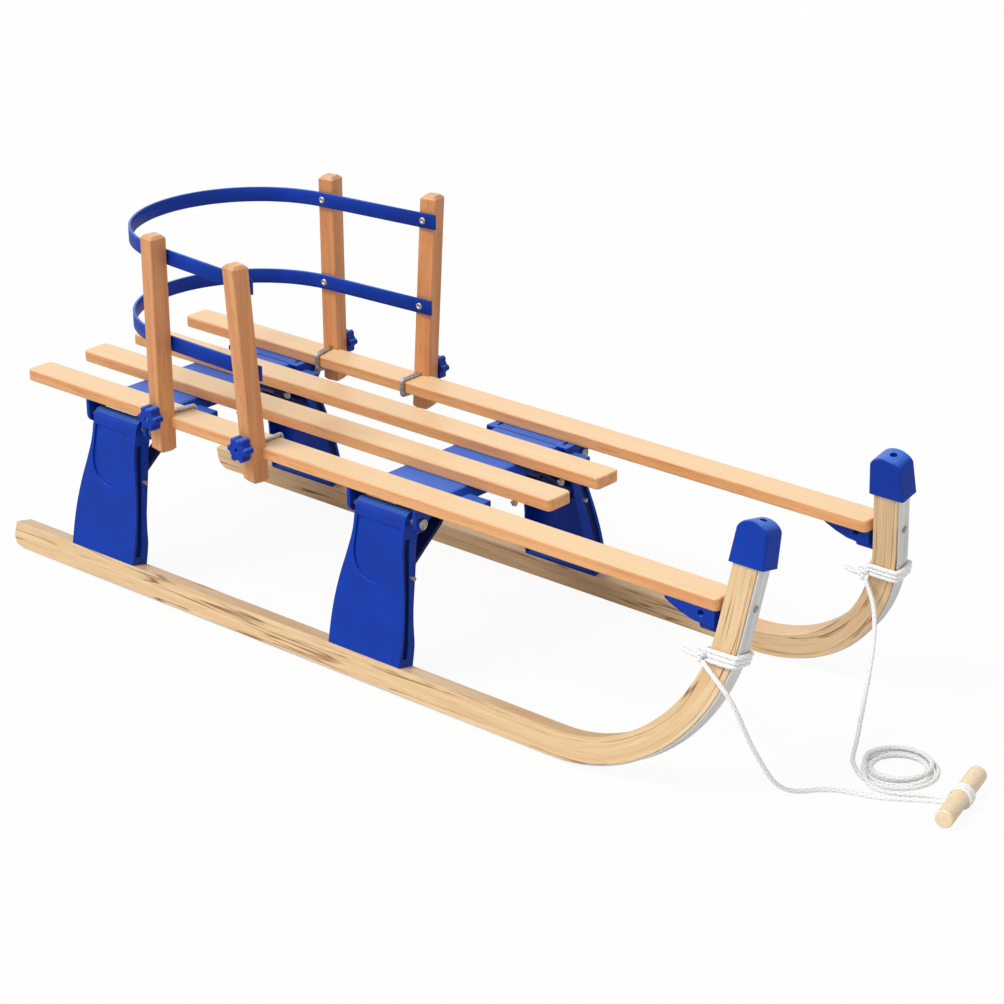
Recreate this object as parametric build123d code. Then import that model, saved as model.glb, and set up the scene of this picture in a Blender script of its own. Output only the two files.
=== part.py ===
from build123d import *
import os
from math import atan, cos, pi, radians, sin, sqrt, tan

# Folding wooden sled with a clamped backrest and a tow rope.
# Millimetres. +X is the way it is pulled, +Y its left side, +Z up.
# The floor is z = 0 and the origin is the middle of the sled on that floor.

# Overall
LENGTH = 1100.0
NEAR, FAR = -1, 1
SIDES = (("near", NEAR), ("far", FAR))

# Seat slats
SEAT_TOP = 227.0
SLAT_THICK = 14.0
SLAT_WIDTH = 37.5
SLAT_REAR_MARGIN = 4.0
OUTER_SLAT_Y = 131.25
INNER_SLAT_Y = 41.25
INNER_SLAT_LENGTH = 757.5
SLAT_CORNER = 6.0
SLAT_EASE = 1.2
HORN_GAP = 3.5

# Runner sides, drawn upright in their own plane and then leant outward at the floor
LEAN = 11.4
RUNNER_FOOT_Y = 165.3
RUNNER_WIDTH = 23.0
RUNNER_DEPTH = 31.3
BAND_THICK = 2.0
BAND_WIDTH = 19.0
BEND_RADIUS = 218.0
HORN_LEAN = 6.0
HORN_TOP_U = 300.0
BAND_ABOVE_PIVOT = 41.0
BAND_SCREW_DROP = 10.0
BAND_SCREW_DIAMETER = 8.0
RUNNER_TAIL_RADIUS = 14.0

# Plastic caps on the horns
CAP_BOTTOM_U = 267.0
CAP_SHOULDER_U = 306.0
CAP_TOP_U = 320.0
CAP_REAR_MARGIN = 6.0
CAP_SIDE_WALL = 2.2
CAP_FRONT_WALL = 2.05
CAP_HOLE = 8.0
CAP_EDGE = 3.0

# Fold axis of each side, on the middle line of the horn
PIVOT_U = 195.0
PIN_DIAMETER = 8.0
RUNNING_CLEARANCE = 0.05
SEAT_CLEARANCE = 0.3

# Legs: half widths at heights up the side
LEG_CENTRES = (("front", 45.5), ("rear", -388.0))
LEG_HALF_WIDTHS = (
    # height u, half width
    (68.0, 57.0),
    (80.0, 54.0),
    (107.0, 49.0),
    (132.0, 46.0),
    (165.0, 39.0),
)
LEG_FOOT_HALF = 56.0
LEG_WALL = 3.0
LEG_RIB = 2.5
LEG_RIB_DEPTH = 3.0
FOOT_SCREW_DIAMETER = 6.0

# Braces from the legs to the bridges
BRACE_PIVOT_U = 131.0
BRACE_PIVOT_OFF = 9.0
BRACE_TOP_Y = 82.0
BRACE_TOP_Z = 182.0
BRACE_HALF_WIDTH = 34.0
BRACE_THICK = 4.0
BRACE_EYE_RADIUS = 4.0
BRACE_PIN_DIAMETER = 5.0
BRACE_RIB_HEIGHT = 3.0
BRACE_STOP_GAP = 1.3

# Bridges under the slats
BRIDGE_HALF_TOP = 62.0
BRIDGE_REACH = 97.0
BRIDGE_SHELF_DROP = 9.0
BRIDGE_SKIRT_Z = 196.0
BRIDGE_WALL = 3.0
BRIDGE_HALF_SPAN = 120.0
EAR_INNER = 45.5
EAR_THICK = 5.0
EAR_RADIUS = 10.0
EAR_ROOT_Y = 104.0
STOP_THICK = 3.0
STOP_HALF_WIDTH = 26.0
BRIDGE_PIN_Y = 40.0
BRIDGE_PIN_DIAMETER = 7.0
BRIDGE_PIN_PROUD = 3.5

# Gussets between the outer slats and the horns
GUSSET_LENGTH = 53.0
GUSSET_RUN_GAP = 1.0
GUSSET_INNER_Y = 124.0
GUSSET_OUTER_Y = 149.0
GUSSET_TIP = 4.0
GUSSET_BOSS_RADIUS = 11.0
GUSSET_BOSS_LENGTH = 10.0
GUSSET_HOLE = 8.0
GUSSET_HOLE_Z = 206.0
BOLT_HEAD_DIAMETER = 13.0
BOLT_HEAD_HEIGHT = 2.5

# Backrest
POST_WIDTH = 23.0
POST_BOTTOM = 184.0
POST_TOP = 458.0
POST_CHAMFER = 4.0
FRONT_POST_X = -154.0
REAR_POST_X = -310.0
FRONT_POST_LEAN = 5.5
REAR_POST_TURN = 8.0
RAIL_HEIGHT = 18.0
RAIL_THICK = 3.5
RAIL_APEX_X = -441.0
RAIL_FRONT_MARGIN = 17.0
RAIL_MIDDLES = (("upper", POST_TOP - 32.0), ("lower", POST_TOP - 144.0))
RAIL_BOLT_DIAMETER = 5.0
RAIL_BOLT_HEAD = 11.0
RAIL_NUT = 9.0
KNOB_RADIUS = 15.5
KNOB_LENGTH = 13.0
KNOB_LOBES = 6
HOOK_DIAMETER = 5.0
HOOK_UNDER = 13.0
HOOK_REACH = {"front": 5.0, "rear": 26.0}

# Tow rope
ROPE = 5.0
WRAP_TURNS = 3
WRAP_LOW_U = 158.0
WRAP_EASE = 1.3
KNOT_RADIUS = 7.5
COIL_X, COIL_Y = 614.0, 28.9
COIL_OUTER, COIL_INNER, COIL_HEIGHT = 44.0, 22.0, 11.0
HANDLE_DIAMETER = 20.0
HANDLE_LENGTH = 109.0
HANDLE_X, HANDLE_Y = 706.0, 3.0
HANDLE_TURN = 104.0
HANDLE_GRIP = 14.0

SLAT_BOTTOM = SEAT_TOP - SLAT_THICK
SLAT_REAR_X = -LENGTH / 2 + SLAT_REAR_MARGIN
BAND_INSET = (RUNNER_WIDTH - BAND_WIDTH) / 2
FLOOR_DROP = BAND_INSET * sin(radians(LEAN))
RUNNER_MIDDLE = RUNNER_WIDTH / 2
INNER_BEND = BEND_RADIUS - RUNNER_DEPTH
WOOD_BEND = BEND_RADIUS - BAND_THICK
RUNNER_REAR_X = -LENGTH / 2
BAND_TOP_U = PIVOT_U + BAND_ABOVE_PIVOT

# The bend's middle, from which the horn reaches the cap's front wall at its shoulder
BEND_END_U = BEND_RADIUS * (1 - sin(radians(HORN_LEAN)))
SHOULDER_REACH = BEND_RADIUS * cos(radians(HORN_LEAN)) + (CAP_SHOULDER_U - BEND_END_U) * tan(radians(HORN_LEAN))
BEND_X = LENGTH / 2 - CAP_FRONT_WALL - SHOULDER_REACH


def side_point(off, u):
    """World (y, z) on the far side of a place off outward from the inner face and u up the side."""
    lean = radians(LEAN)
    return (
        RUNNER_FOOT_Y + off * cos(lean) - u * sin(lean),
        off * sin(lean) + u * cos(lean) - FLOOR_DROP,
    )


PIVOT_Y, PIVOT_Z = side_point(RUNNER_MIDDLE, PIVOT_U)
BRACE_Y, BRACE_Z = side_point(BRACE_PIVOT_OFF, BRACE_PIVOT_U)


def on_side(shape, side):
    """Lean a shape drawn as (x, off, u) into the far side, or mirror it to the near one."""
    placed = Location((0, RUNNER_FOOT_Y, -FLOOR_DROP)) * Rot(LEAN, 0, 0) * shape
    return mirror(placed, about=Plane.XZ) if side == NEAR else placed


def to_side(shape, side):
    """Keep a shape drawn on the far side, or mirror it to the near one."""
    return mirror(shape, about=Plane.XZ) if side == NEAR else shape


def bend_point(radius, angle):
    """A point of the runner's bend, angle in degrees from its lowest point."""
    turn = radians(angle)
    return BEND_X + radius * sin(turn), BEND_RADIUS - radius * cos(turn)


def horn_x(radius, u):
    """Where the face of that bend radius stands at height u, on the bend or on the straight horn."""
    end_x, end_u = bend_point(radius, 90 - HORN_LEAN)
    if u < end_u:
        return BEND_X + sqrt(radius ** 2 - (BEND_RADIUS - u) ** 2)
    return end_x + (u - end_u) * tan(radians(HORN_LEAN))


def face_xu(edges):
    """A face in the upright side plane from edges drawn in it."""
    return Face(Wire(edges))


def xu(x, u):
    return Vector(x, 0, u)


def bend_arc(radius, start, end):
    middle = (start + end) / 2
    return ThreePointArc(*(xu(*bend_point(radius, angle)) for angle in (start, middle, end)))


def rod_x(radius, x0, x1, y, z):
    """A round bar along X."""
    return Location(((x0 + x1) / 2, y, z)) * Rot(0, 90, 0) * Cylinder(radius, x1 - x0)


def rod_y(radius, y0, y1, x, z):
    """A round bar along Y."""
    return Location((x, (y0 + y1) / 2, z)) * Rot(90, 0, 0) * Cylinder(radius, y1 - y0)


nodes = {}


def add(name, shape, parts=1):
    """Keep a node, and stop where it doesn't hold as many solids as it should."""
    solids = shape.solids()
    if len(solids) != parts:
        raise ValueError(f"{name} has {len(solids)} solids, not {parts}")
    nodes[name] = solids[0] if parts == 1 else Compound(children=list(solids))


# Seat slats: their long edges eased, their corners rounded in plan
def slat(length, y):
    plan = RectangleRounded(length, SLAT_WIDTH, SLAT_CORNER)
    board = extrude(plan, SLAT_THICK)
    rims = board.faces().sort_by(Axis.Z)
    board = chamfer(rims[-1].edges() + rims[0].edges(), SLAT_EASE)
    return Location((SLAT_REAR_X + length / 2, y, SLAT_BOTTOM)) * board


SLAT_U = (SEAT_TOP - SLAT_THICK / 2 + FLOOR_DROP) / cos(radians(LEAN))
OUTER_SLAT_LENGTH = horn_x(INNER_BEND, SLAT_U) - HORN_GAP - SLAT_REAR_X
for side_name, side in SIDES:
    add(f"slat_outer_{side_name}", slat(OUTER_SLAT_LENGTH, side * OUTER_SLAT_Y))
    add(f"slat_inner_{side_name}", slat(INNER_SLAT_LENGTH, side * INNER_SLAT_Y))


# Runners: one bent strip each, with the steel band round its outer face
def runner_wood():
    end = 90 - HORN_LEAN
    tail = RUNNER_TAIL_RADIUS
    lower_end = xu(*bend_point(WOOD_BEND, end))
    upper_end = xu(*bend_point(INNER_BEND, end))
    top_front = xu(horn_x(WOOD_BEND, HORN_TOP_U), HORN_TOP_U)
    top_rear = xu(horn_x(INNER_BEND, HORN_TOP_U), HORN_TOP_U)
    low = xu(RUNNER_REAR_X + tail, BAND_THICK)
    belly = xu(RUNNER_REAR_X + tail * (1 - sqrt(0.5)), BAND_THICK + tail * (1 - sqrt(0.5)))
    back = xu(RUNNER_REAR_X, BAND_THICK + tail)
    edges = [
        Line(low, xu(BEND_X, BAND_THICK)),
        bend_arc(WOOD_BEND, 0, end),
        Line(lower_end, top_front),
        Line(top_front, top_rear),
        Line(top_rear, upper_end),
        bend_arc(INNER_BEND, end, 0),
        Line(xu(BEND_X, RUNNER_DEPTH), xu(RUNNER_REAR_X + 1.0, RUNNER_DEPTH)),
        Line(xu(RUNNER_REAR_X + 1.0, RUNNER_DEPTH), back),
        ThreePointArc(back, belly, low),
    ]
    return extrude(face_xu(edges), RUNNER_WIDTH, dir=(0, 1, 0))


def steel_band():
    end = 90 - HORN_LEAN
    lower_end = xu(*bend_point(BEND_RADIUS, end))
    upper_end = xu(*bend_point(WOOD_BEND, end))
    top_front = xu(horn_x(BEND_RADIUS, BAND_TOP_U), BAND_TOP_U)
    top_rear = xu(horn_x(WOOD_BEND, BAND_TOP_U), BAND_TOP_U)
    start_x = RUNNER_REAR_X + RUNNER_TAIL_RADIUS
    edges = [
        Line(xu(start_x, 0), xu(BEND_X, 0)),
        bend_arc(BEND_RADIUS, 0, end),
        Line(lower_end, top_front),
        Line(top_front, top_rear),
        Line(top_rear, upper_end),
        bend_arc(WOOD_BEND, end, 0),
        Line(xu(BEND_X, BAND_THICK), xu(start_x, BAND_THICK)),
        Line(xu(start_x, BAND_THICK), xu(start_x, 0)),
    ]
    return Location((0, BAND_INSET, 0)) * extrude(face_xu(edges), BAND_WIDTH, dir=(0, 1, 0))


HORN_FRONT_X = horn_x(BEND_RADIUS, PIVOT_U)
HORN_REAR_X = horn_x(INNER_BEND, PIVOT_U)
PIN_BORE = PIN_DIAMETER / 2 + RUNNING_CLEARANCE
GUSSET_FRONT_X = (horn_x(INNER_BEND, PIVOT_U - GUSSET_BOSS_RADIUS) - GUSSET_RUN_GAP
                  - GUSSET_BOSS_LENGTH)
BOLT_BORE = rod_x(PIN_BORE, HORN_REAR_X - 10, HORN_FRONT_X + 10, RUNNER_MIDDLE, PIVOT_U)


# Caps: a domed box pushed over the end of the horn
def cap():
    rear_low = xu(horn_x(INNER_BEND, CAP_BOTTOM_U) - CAP_REAR_MARGIN, CAP_BOTTOM_U)
    front_low = xu(LENGTH / 2, CAP_BOTTOM_U)
    rear_high = rear_low + Vector(4.0, 0, CAP_SHOULDER_U - CAP_BOTTOM_U)
    front_high = xu(LENGTH / 2 - 1.0, CAP_SHOULDER_U)
    crown = xu(rear_high.X + (front_high.X - rear_high.X) * 0.58, CAP_TOP_U)
    edges = [
        Line(rear_low, front_low),
        Line(front_low, front_high),
        ThreePointArc(front_high, crown, rear_high),
        Line(rear_high, rear_low),
    ]
    width = RUNNER_WIDTH + 2 * CAP_SIDE_WALL
    body = Location((0, -CAP_SIDE_WALL, 0)) * extrude(face_xu(edges), width, dir=(0, 1, 0))
    rims = [e for e in body.edges() if e.center().Z > CAP_BOTTOM_U + 1 and abs(e.length - width) > 0.1]
    body = fillet(rims, CAP_EDGE)
    hole = Location((crown.X, RUNNER_MIDDLE, CAP_TOP_U)) * Cylinder(CAP_HOLE / 2, 2 * CAP_HOLE)
    return body - runner_wood() - hole


# Legs: channels open to the inner side, with a round head about the fold axis
def leg_outline(inset):
    base = RUNNER_DEPTH + inset
    rows = [(base, LEG_FOOT_HALF)] + list(LEG_HALF_WIDTHS)
    head = PIVOT_U + RUNNER_MIDDLE - inset
    rows.append((head, LEG_HALF_WIDTHS[-1][1]))
    right = [(half - inset, u) for u, half in rows]
    left = [(-x, u) for x, u in reversed(right)]
    return right + left


def leg_block(inset, off0, off1):
    outline = [xu(x, u) for x, u in leg_outline(inset)]
    face = Face(Wire(Polyline(*outline, close=True).edges()))
    block = Location((0, off0, 0)) * extrude(face, off1 - off0, dir=(0, 1, 0))
    half = LEG_FOOT_HALF + 10
    shank_height = PIVOT_U - RUNNER_DEPTH + 1
    shank = Location((0, (off0 + off1) / 2, PIVOT_U - shank_height / 2)) * Box(
        2 * half, off1 - off0, shank_height)
    head = rod_x(RUNNER_MIDDLE - inset, -half, half, RUNNER_MIDDLE, PIVOT_U)
    return block & (shank + head)


def leg():
    shell = leg_block(0, 0, RUNNER_WIDTH) - leg_block(LEG_WALL, -1, RUNNER_WIDTH - LEG_WALL)
    rib_low = RUNNER_DEPTH + LEG_WALL
    rib_high = BRACE_PIVOT_U - 3 * BRACE_EYE_RADIUS
    outer = RUNNER_WIDTH - LEG_WALL
    rib = Box(LEG_RIB, LEG_RIB_DEPTH, rib_high - rib_low)
    shell += Location((0, outer - LEG_RIB_DEPTH / 2, (rib_low + rib_high) / 2)) * rib
    half = LEG_FOOT_HALF + 10
    shell -= rod_x(PIN_BORE, -half, half, RUNNER_MIDDLE, PIVOT_U)
    brace_bore = BRACE_PIN_DIAMETER / 2 + RUNNING_CLEARANCE
    shell -= rod_x(brace_bore, -half, half, BRACE_PIVOT_OFF, BRACE_PIVOT_U)
    return shell


def half_at(u):
    """Half width of a leg at height u."""
    rows = [(RUNNER_DEPTH, LEG_FOOT_HALF)] + list(LEG_HALF_WIDTHS)
    for (u0, half0), (u1, half1) in zip(rows, rows[1:]):
        if u <= u1:
            return half0 + (half1 - half0) * (u - u0) / (u1 - u0)
    return rows[-1][1]


LEG = leg()
BRACE_PIN_HALF = half_at(BRACE_PIVOT_U) + 1.0
RUNNER = runner_wood() - BOLT_BORE
STEEL = steel_band() - BOLT_BORE
CAP = cap()

for side_name, side in SIDES:
    add(f"runner_{side_name}", on_side(RUNNER, side))
    add(f"steel_band_{side_name}", on_side(STEEL, side))
    add(f"cap_{side_name}", on_side(CAP, side))
    brace_pins = []
    for place, x in LEG_CENTRES:
        add(f"leg_{place}_{side_name}", on_side(Location((x, 0, 0)) * LEG, side))
        brace_pins.append(on_side(rod_x(BRACE_PIN_DIAMETER / 2, x - BRACE_PIN_HALF, x + BRACE_PIN_HALF,
                                        BRACE_PIVOT_OFF, BRACE_PIVOT_U), side))
    add(f"brace_pins_{side_name}", Compound(children=brace_pins), 2)


# Braces: ribbed plates that turn on a pin inside the leg and bear on a stop of the bridge
def brace():
    """Drawn on the far side, its eye on the brace pin, round x = 0."""
    run = Vector(0, BRACE_TOP_Y - BRACE_Y, BRACE_TOP_Z - BRACE_Z)
    length = run.length
    plate = Box(2 * BRACE_HALF_WIDTH, length, BRACE_THICK)
    eye = rod_x(BRACE_EYE_RADIUS, -BRACE_HALF_WIDTH, BRACE_HALF_WIDTH, 0, 0)
    body = Location((0, length / 2, 0)) * plate + eye + Location((0, length, 0)) * eye
    for x in (-BRACE_HALF_WIDTH + BRACE_THICK, BRACE_HALF_WIDTH - BRACE_THICK):
        rib = Box(BRACE_THICK, length - 4 * BRACE_EYE_RADIUS, BRACE_RIB_HEIGHT)
        body += Location((x, length / 2, (BRACE_THICK + BRACE_RIB_HEIGHT) / 2)) * rib
    window = RectangleRounded(BRACE_HALF_WIDTH, length / 3, 6)
    body -= Location((0, length / 2, -BRACE_THICK)) * extrude(window, 3 * BRACE_THICK)
    bore = BRACE_PIN_DIAMETER / 2 + RUNNING_CLEARANCE
    body -= rod_x(bore, -2 * BRACE_HALF_WIDTH, 2 * BRACE_HALF_WIDTH, 0, 0)
    angle = 180 - Vector(0, -1, 0).get_angle(run)
    return Location((0, BRACE_Y, BRACE_Z)) * Rot(angle, 0, 0) * body


BRACE = brace()
for side_name, side in SIDES:
    for place, x in LEG_CENTRES:
        add(f"brace_{place}_{side_name}", to_side(Location((x, 0, 0)) * BRACE, side))


# Bridges: hat sections across the sled, with ears for the fold pins and stops for the braces
def bridge():
    top, wall, skirt = SLAT_BOTTOM, BRIDGE_WALL, BRIDGE_SKIRT_Z
    half, shelf = BRIDGE_HALF_TOP, SLAT_BOTTOM - BRIDGE_SHELF_DROP
    slope = BRIDGE_SHELF_DROP * 0.7
    outer = [(-half - 4, skirt), (-half, top), (half, top), (half + slope, shelf),
             (BRIDGE_REACH, shelf), (BRIDGE_REACH, skirt)]
    inner = [(BRIDGE_REACH - wall, skirt), (BRIDGE_REACH - wall, shelf - wall),
             (half + slope - wall / 2, shelf - wall), (half - wall / 2, top - wall),
             (-half + wall, top - wall), (-half - 4 + wall, skirt)]
    outline = [Vector(x, 0, z) for x, z in outer + inner]
    face = Face(Wire(Polyline(*outline, close=True).edges()))
    span = 2 * BRIDGE_HALF_SPAN
    body = Location((0, -BRIDGE_HALF_SPAN, 0)) * extrude(face, span, dir=(0, 1, 0))
    for side in (NEAR, FAR):
        for end in (-1, 1):
            middle = end * (EAR_INNER + EAR_THICK / 2)
            width = PIVOT_Y - EAR_ROOT_Y
            plate = Location((middle, (PIVOT_Y + EAR_ROOT_Y) / 2, (top + PIVOT_Z) / 2)) * Box(
                EAR_THICK, width, top - PIVOT_Z)
            eye = rod_x(EAR_RADIUS, middle - EAR_THICK / 2, middle + EAR_THICK / 2, PIVOT_Y, PIVOT_Z)
            tip = Location((middle, PIVOT_Y + EAR_RADIUS / 2, (top + PIVOT_Z) / 2)) * Box(
                EAR_THICK, EAR_RADIUS, top - PIVOT_Z)
            body += to_side(plate + eye + tip, side)
        stop_y = BRACE_TOP_Y + BRACE_EYE_RADIUS + BRACE_STOP_GAP + STOP_THICK / 2
        stop = Location((0, stop_y, (top + BRACE_TOP_Z) / 2)) * Box(
            2 * STOP_HALF_WIDTH, STOP_THICK, top - BRACE_TOP_Z)
        body += to_side(stop, side)
        body -= to_side(rod_x(PIN_BORE, -BRIDGE_REACH, BRIDGE_REACH, PIVOT_Y, PIVOT_Z), side)
        pin_z = (SLAT_BOTTOM - BRIDGE_SHELF_DROP + BRIDGE_SKIRT_Z) / 2
        pin_bore = BRIDGE_PIN_DIAMETER / 4 + RUNNING_CLEARANCE
        body -= rod_x(pin_bore, BRIDGE_REACH - 2 * wall, BRIDGE_REACH + wall, side * BRIDGE_PIN_Y, pin_z)
    return body


# Pins through the bridges' ears and the heads of the legs, upset at both ends
def fold_pin():
    reach = EAR_INNER + EAR_THICK + SEAT_CLEARANCE
    head = PIN_DIAMETER / 4
    pin = rod_x(PIN_DIAMETER / 2, -reach, reach, PIVOT_Y, PIVOT_Z)
    for end in (-1, 1):
        x0, x1 = sorted((end * reach, end * (reach + head)))
        pin += rod_x(PIN_DIAMETER * 0.75, x0, x1, PIVOT_Y, PIVOT_Z)
    return pin


def bridge_pin():
    """A small rivet in the front skirt of a bridge."""
    z = (SLAT_BOTTOM - BRIDGE_SHELF_DROP + BRIDGE_SKIRT_Z) / 2
    head = rod_x(BRIDGE_PIN_DIAMETER / 2, BRIDGE_REACH, BRIDGE_REACH + BRIDGE_PIN_PROUD, BRIDGE_PIN_Y, z)
    return head + rod_x(BRIDGE_PIN_DIAMETER / 4, BRIDGE_REACH - BRIDGE_WALL, BRIDGE_REACH, BRIDGE_PIN_Y, z)


BRIDGE = bridge()
FOLD_PIN = fold_pin()
BRIDGE_PIN = bridge_pin()
for place, x in LEG_CENTRES:
    add(f"bridge_{place}", Location((x, 0, 0)) * BRIDGE)
    add(f"bridge_pins_{place}", Compound(children=[
        to_side(Location((x, 0, 0)) * BRIDGE_PIN, side) for _, side in SIDES]), 2)
for side_name, side in SIDES:
    pins = [to_side(Location((x, 0, 0)) * FOLD_PIN, side) for _, x in LEG_CENTRES]
    add(f"fold_pins_{side_name}", Compound(children=pins), 2)


# Gussets and the bolts on which the horns turn
def gusset():
    rear, front = GUSSET_FRONT_X - GUSSET_LENGTH, GUSSET_FRONT_X
    bottom = PIVOT_Z - GUSSET_BOSS_RADIUS
    toe = Vector(rear, 0, SLAT_BOTTOM - GUSSET_TIP)
    heel = Vector(front, 0, bottom)
    sag = Vector((rear + front) / 2 + 4, 0, (SLAT_BOTTOM - GUSSET_TIP + bottom) / 2 + 6)
    edges = [
        Line(Vector(rear, 0, SLAT_BOTTOM), Vector(front, 0, SLAT_BOTTOM)),
        Line(Vector(front, 0, SLAT_BOTTOM), heel),
        ThreePointArc(heel, sag, toe),
        Line(toe, Vector(rear, 0, SLAT_BOTTOM)),
    ]
    width = GUSSET_OUTER_Y - GUSSET_INNER_Y
    body = Location((0, GUSSET_INNER_Y, 0)) * extrude(Face(Wire(edges)), width, dir=(0, 1, 0))
    body += rod_x(GUSSET_BOSS_RADIUS, front - 1, front + GUSSET_BOSS_LENGTH, PIVOT_Y, PIVOT_Z)
    body -= rod_x(PIN_BORE, front - 20, front + 20, PIVOT_Y, PIVOT_Z)
    hole = rod_y(GUSSET_HOLE / 2, GUSSET_INNER_Y - 1, GUSSET_OUTER_Y + 1, front - 8, GUSSET_HOLE_Z)
    return body - hole


def pivot_bolt():
    radius = BOLT_HEAD_DIAMETER / 2
    seat = horn_x(BEND_RADIUS, PIVOT_U + radius) + SEAT_CLEARANCE
    bolt = rod_x(PIN_DIAMETER / 2, GUSSET_FRONT_X - 20, seat, PIVOT_Y, PIVOT_Z)
    head = rod_x(radius, seat, seat + BOLT_HEAD_HEIGHT, PIVOT_Y, PIVOT_Z)
    front_rim = head.edges().sort_by(Axis.X)[-1]
    return bolt + chamfer(front_rim, BOLT_HEAD_HEIGHT * 0.6)


GUSSET = gusset()
PIVOT_BOLT = pivot_bolt()
for side_name, side in SIDES:
    add(f"gusset_{side_name}", to_side(GUSSET, side))
    add(f"pivot_bolt_{side_name}", to_side(PIVOT_BOLT, side))

# Backrest posts, each with a bore for its hook and for two rail bolts
HOOK_Z = SEAT_TOP + HOOK_DIAMETER / 2 + SEAT_CLEARANCE
SLAT_EDGE_Y = OUTER_SLAT_Y + SLAT_WIDTH / 2
TURN = radians(REAR_POST_TURN)
REAR_POST_REACH = POST_WIDTH / 2 * (cos(TURN) + sin(TURN))
REAR_POST_Y = SLAT_EDGE_Y + SEAT_CLEARANCE + REAR_POST_REACH
FRONT_LEAN = radians(FRONT_POST_LEAN)


def front_post_face(z):
    """Where the inner face of a front post stands at height z."""
    return SLAT_EDGE_Y + SEAT_CLEARANCE + (z - SLAT_BOTTOM) * tan(FRONT_LEAN)


def plain_post():
    post = Location((0, 0, (POST_BOTTOM + POST_TOP) / 2)) * Box(
        POST_WIDTH, POST_WIDTH, POST_TOP - POST_BOTTOM)
    ends = post.faces().sort_by(Axis.Z)
    post = chamfer(ends[-1].edges(), POST_CHAMFER)
    return post


FRONT_POST = (Location((FRONT_POST_X, SLAT_EDGE_Y + SEAT_CLEARANCE, SLAT_BOTTOM)) * Rot(-FRONT_POST_LEAN, 0, 0)
              * Location((0, POST_WIDTH / 2, -SLAT_BOTTOM)) * plain_post())
REAR_POST = Location((REAR_POST_X, REAR_POST_Y, 0)) * Rot(0, 0, REAR_POST_TURN) * plain_post()


# Backrest rails: flat strips bent round the back, open at the front
def rail_line(z):
    """Slope of a rail's arms, and where its outer face passes the rear post."""
    low = z - RAIL_HEIGHT / 2
    front_y = front_post_face(low) - SEAT_CLEARANCE
    rear_y = REAR_POST_Y - REAR_POST_REACH - SEAT_CLEARANCE
    slope = (front_y - rear_y) / (FRONT_POST_X + POST_WIDTH / 2 - REAR_POST_X)
    return slope, rear_y


def rail_bend(z):
    """Tilt of a rail's arms in radians, and the centre and radius of the bend of its outer face."""
    slope, rear_y = rail_line(z)
    turn = atan(slope)
    radius = (rear_y * cos(turn) + (RAIL_APEX_X - REAR_POST_X) * sin(turn)) / (1 - sin(turn))
    return turn, RAIL_APEX_X + radius, radius


def rail_inner_y(x, z):
    """Where a rail's inner face runs beside x."""
    turn, centre, radius = rail_bend(z)
    within = radius - RAIL_THICK
    tangent_x, tangent_y = centre - within * sin(turn), within * cos(turn)
    if x < tangent_x:
        return sqrt(within ** 2 - (centre - x) ** 2)
    return tangent_y + (x - tangent_x) * tan(turn)


def rail_plan(z, inset, extend):
    """The space within a rail's outer face, set in by inset and longer at the front by extend."""
    turn, centre, bend = rail_bend(z)
    radius = bend - inset
    front_x = FRONT_POST_X + RAIL_FRONT_MARGIN
    tangent = Vector(centre - radius * sin(turn), radius * cos(turn), 0)
    end_x = front_x + extend
    end = Vector(end_x, tangent.Y + (end_x - tangent.X) * tan(turn), 0)
    near_end, near_tangent = Vector(end.X, -end.Y, 0), Vector(tangent.X, -tangent.Y, 0)
    edges = [
        Line(end, tangent),
        ThreePointArc(tangent, Vector(centre - radius, 0, 0), near_tangent),
        Line(near_tangent, near_end),
        Line(near_end, end),
    ]
    return Face(Wire(edges))


def rail(z):
    low = z - RAIL_HEIGHT / 2
    outer = extrude(rail_plan(z, 0, 0), RAIL_HEIGHT, dir=(0, 0, 1))
    inner = extrude(rail_plan(z, RAIL_THICK, 10), RAIL_HEIGHT * 3, dir=(0, 0, 1))
    strip = outer - Location((0, 0, -RAIL_HEIGHT)) * inner
    return Location((0, 0, low)) * strip


def rail_bolt(x, z, inner_y, outer_y):
    """A round-headed bolt through a post and a rail, nut inside, on the far side."""
    shank = rod_y(RAIL_BOLT_DIAMETER / 2, inner_y - 6, outer_y + 1, x, z)
    nut = rod_y(RAIL_NUT / 2, inner_y - 4, inner_y, x, z)
    head = rod_y(RAIL_BOLT_HEAD / 2, outer_y, outer_y + 3, x, z)
    crown = head.edges().sort_by(Axis.Y)[-1]
    return shank + nut + chamfer(crown, 1.8)


FRONT_OUTER = POST_WIDTH / cos(FRONT_LEAN)
rail_bolts, post_bores = [], []
for rail_name, z in RAIL_MIDDLES:
    front_inner = rail_inner_y(FRONT_POST_X - RAIL_NUT / 2, z) - SEAT_CLEARANCE
    rear_inner = rail_inner_y(REAR_POST_X - RAIL_NUT / 2, z) - SEAT_CLEARANCE
    front_outer = front_post_face(z + RAIL_BOLT_HEAD / 2) + FRONT_OUTER + SEAT_CLEARANCE
    rear_outer = REAR_POST_Y + REAR_POST_REACH + SEAT_CLEARANCE
    bolt_bore = RAIL_BOLT_DIAMETER / 2 + RUNNING_CLEARANCE
    for x, inner_y, outer_y in ((FRONT_POST_X, front_inner, front_outer),
                                (REAR_POST_X, rear_inner, rear_outer)):
        rail_bolts.append(rail_bolt(x, z, inner_y, outer_y))
        post_bores.append(rod_y(bolt_bore, inner_y - 20, outer_y + 20, x, z))

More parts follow.
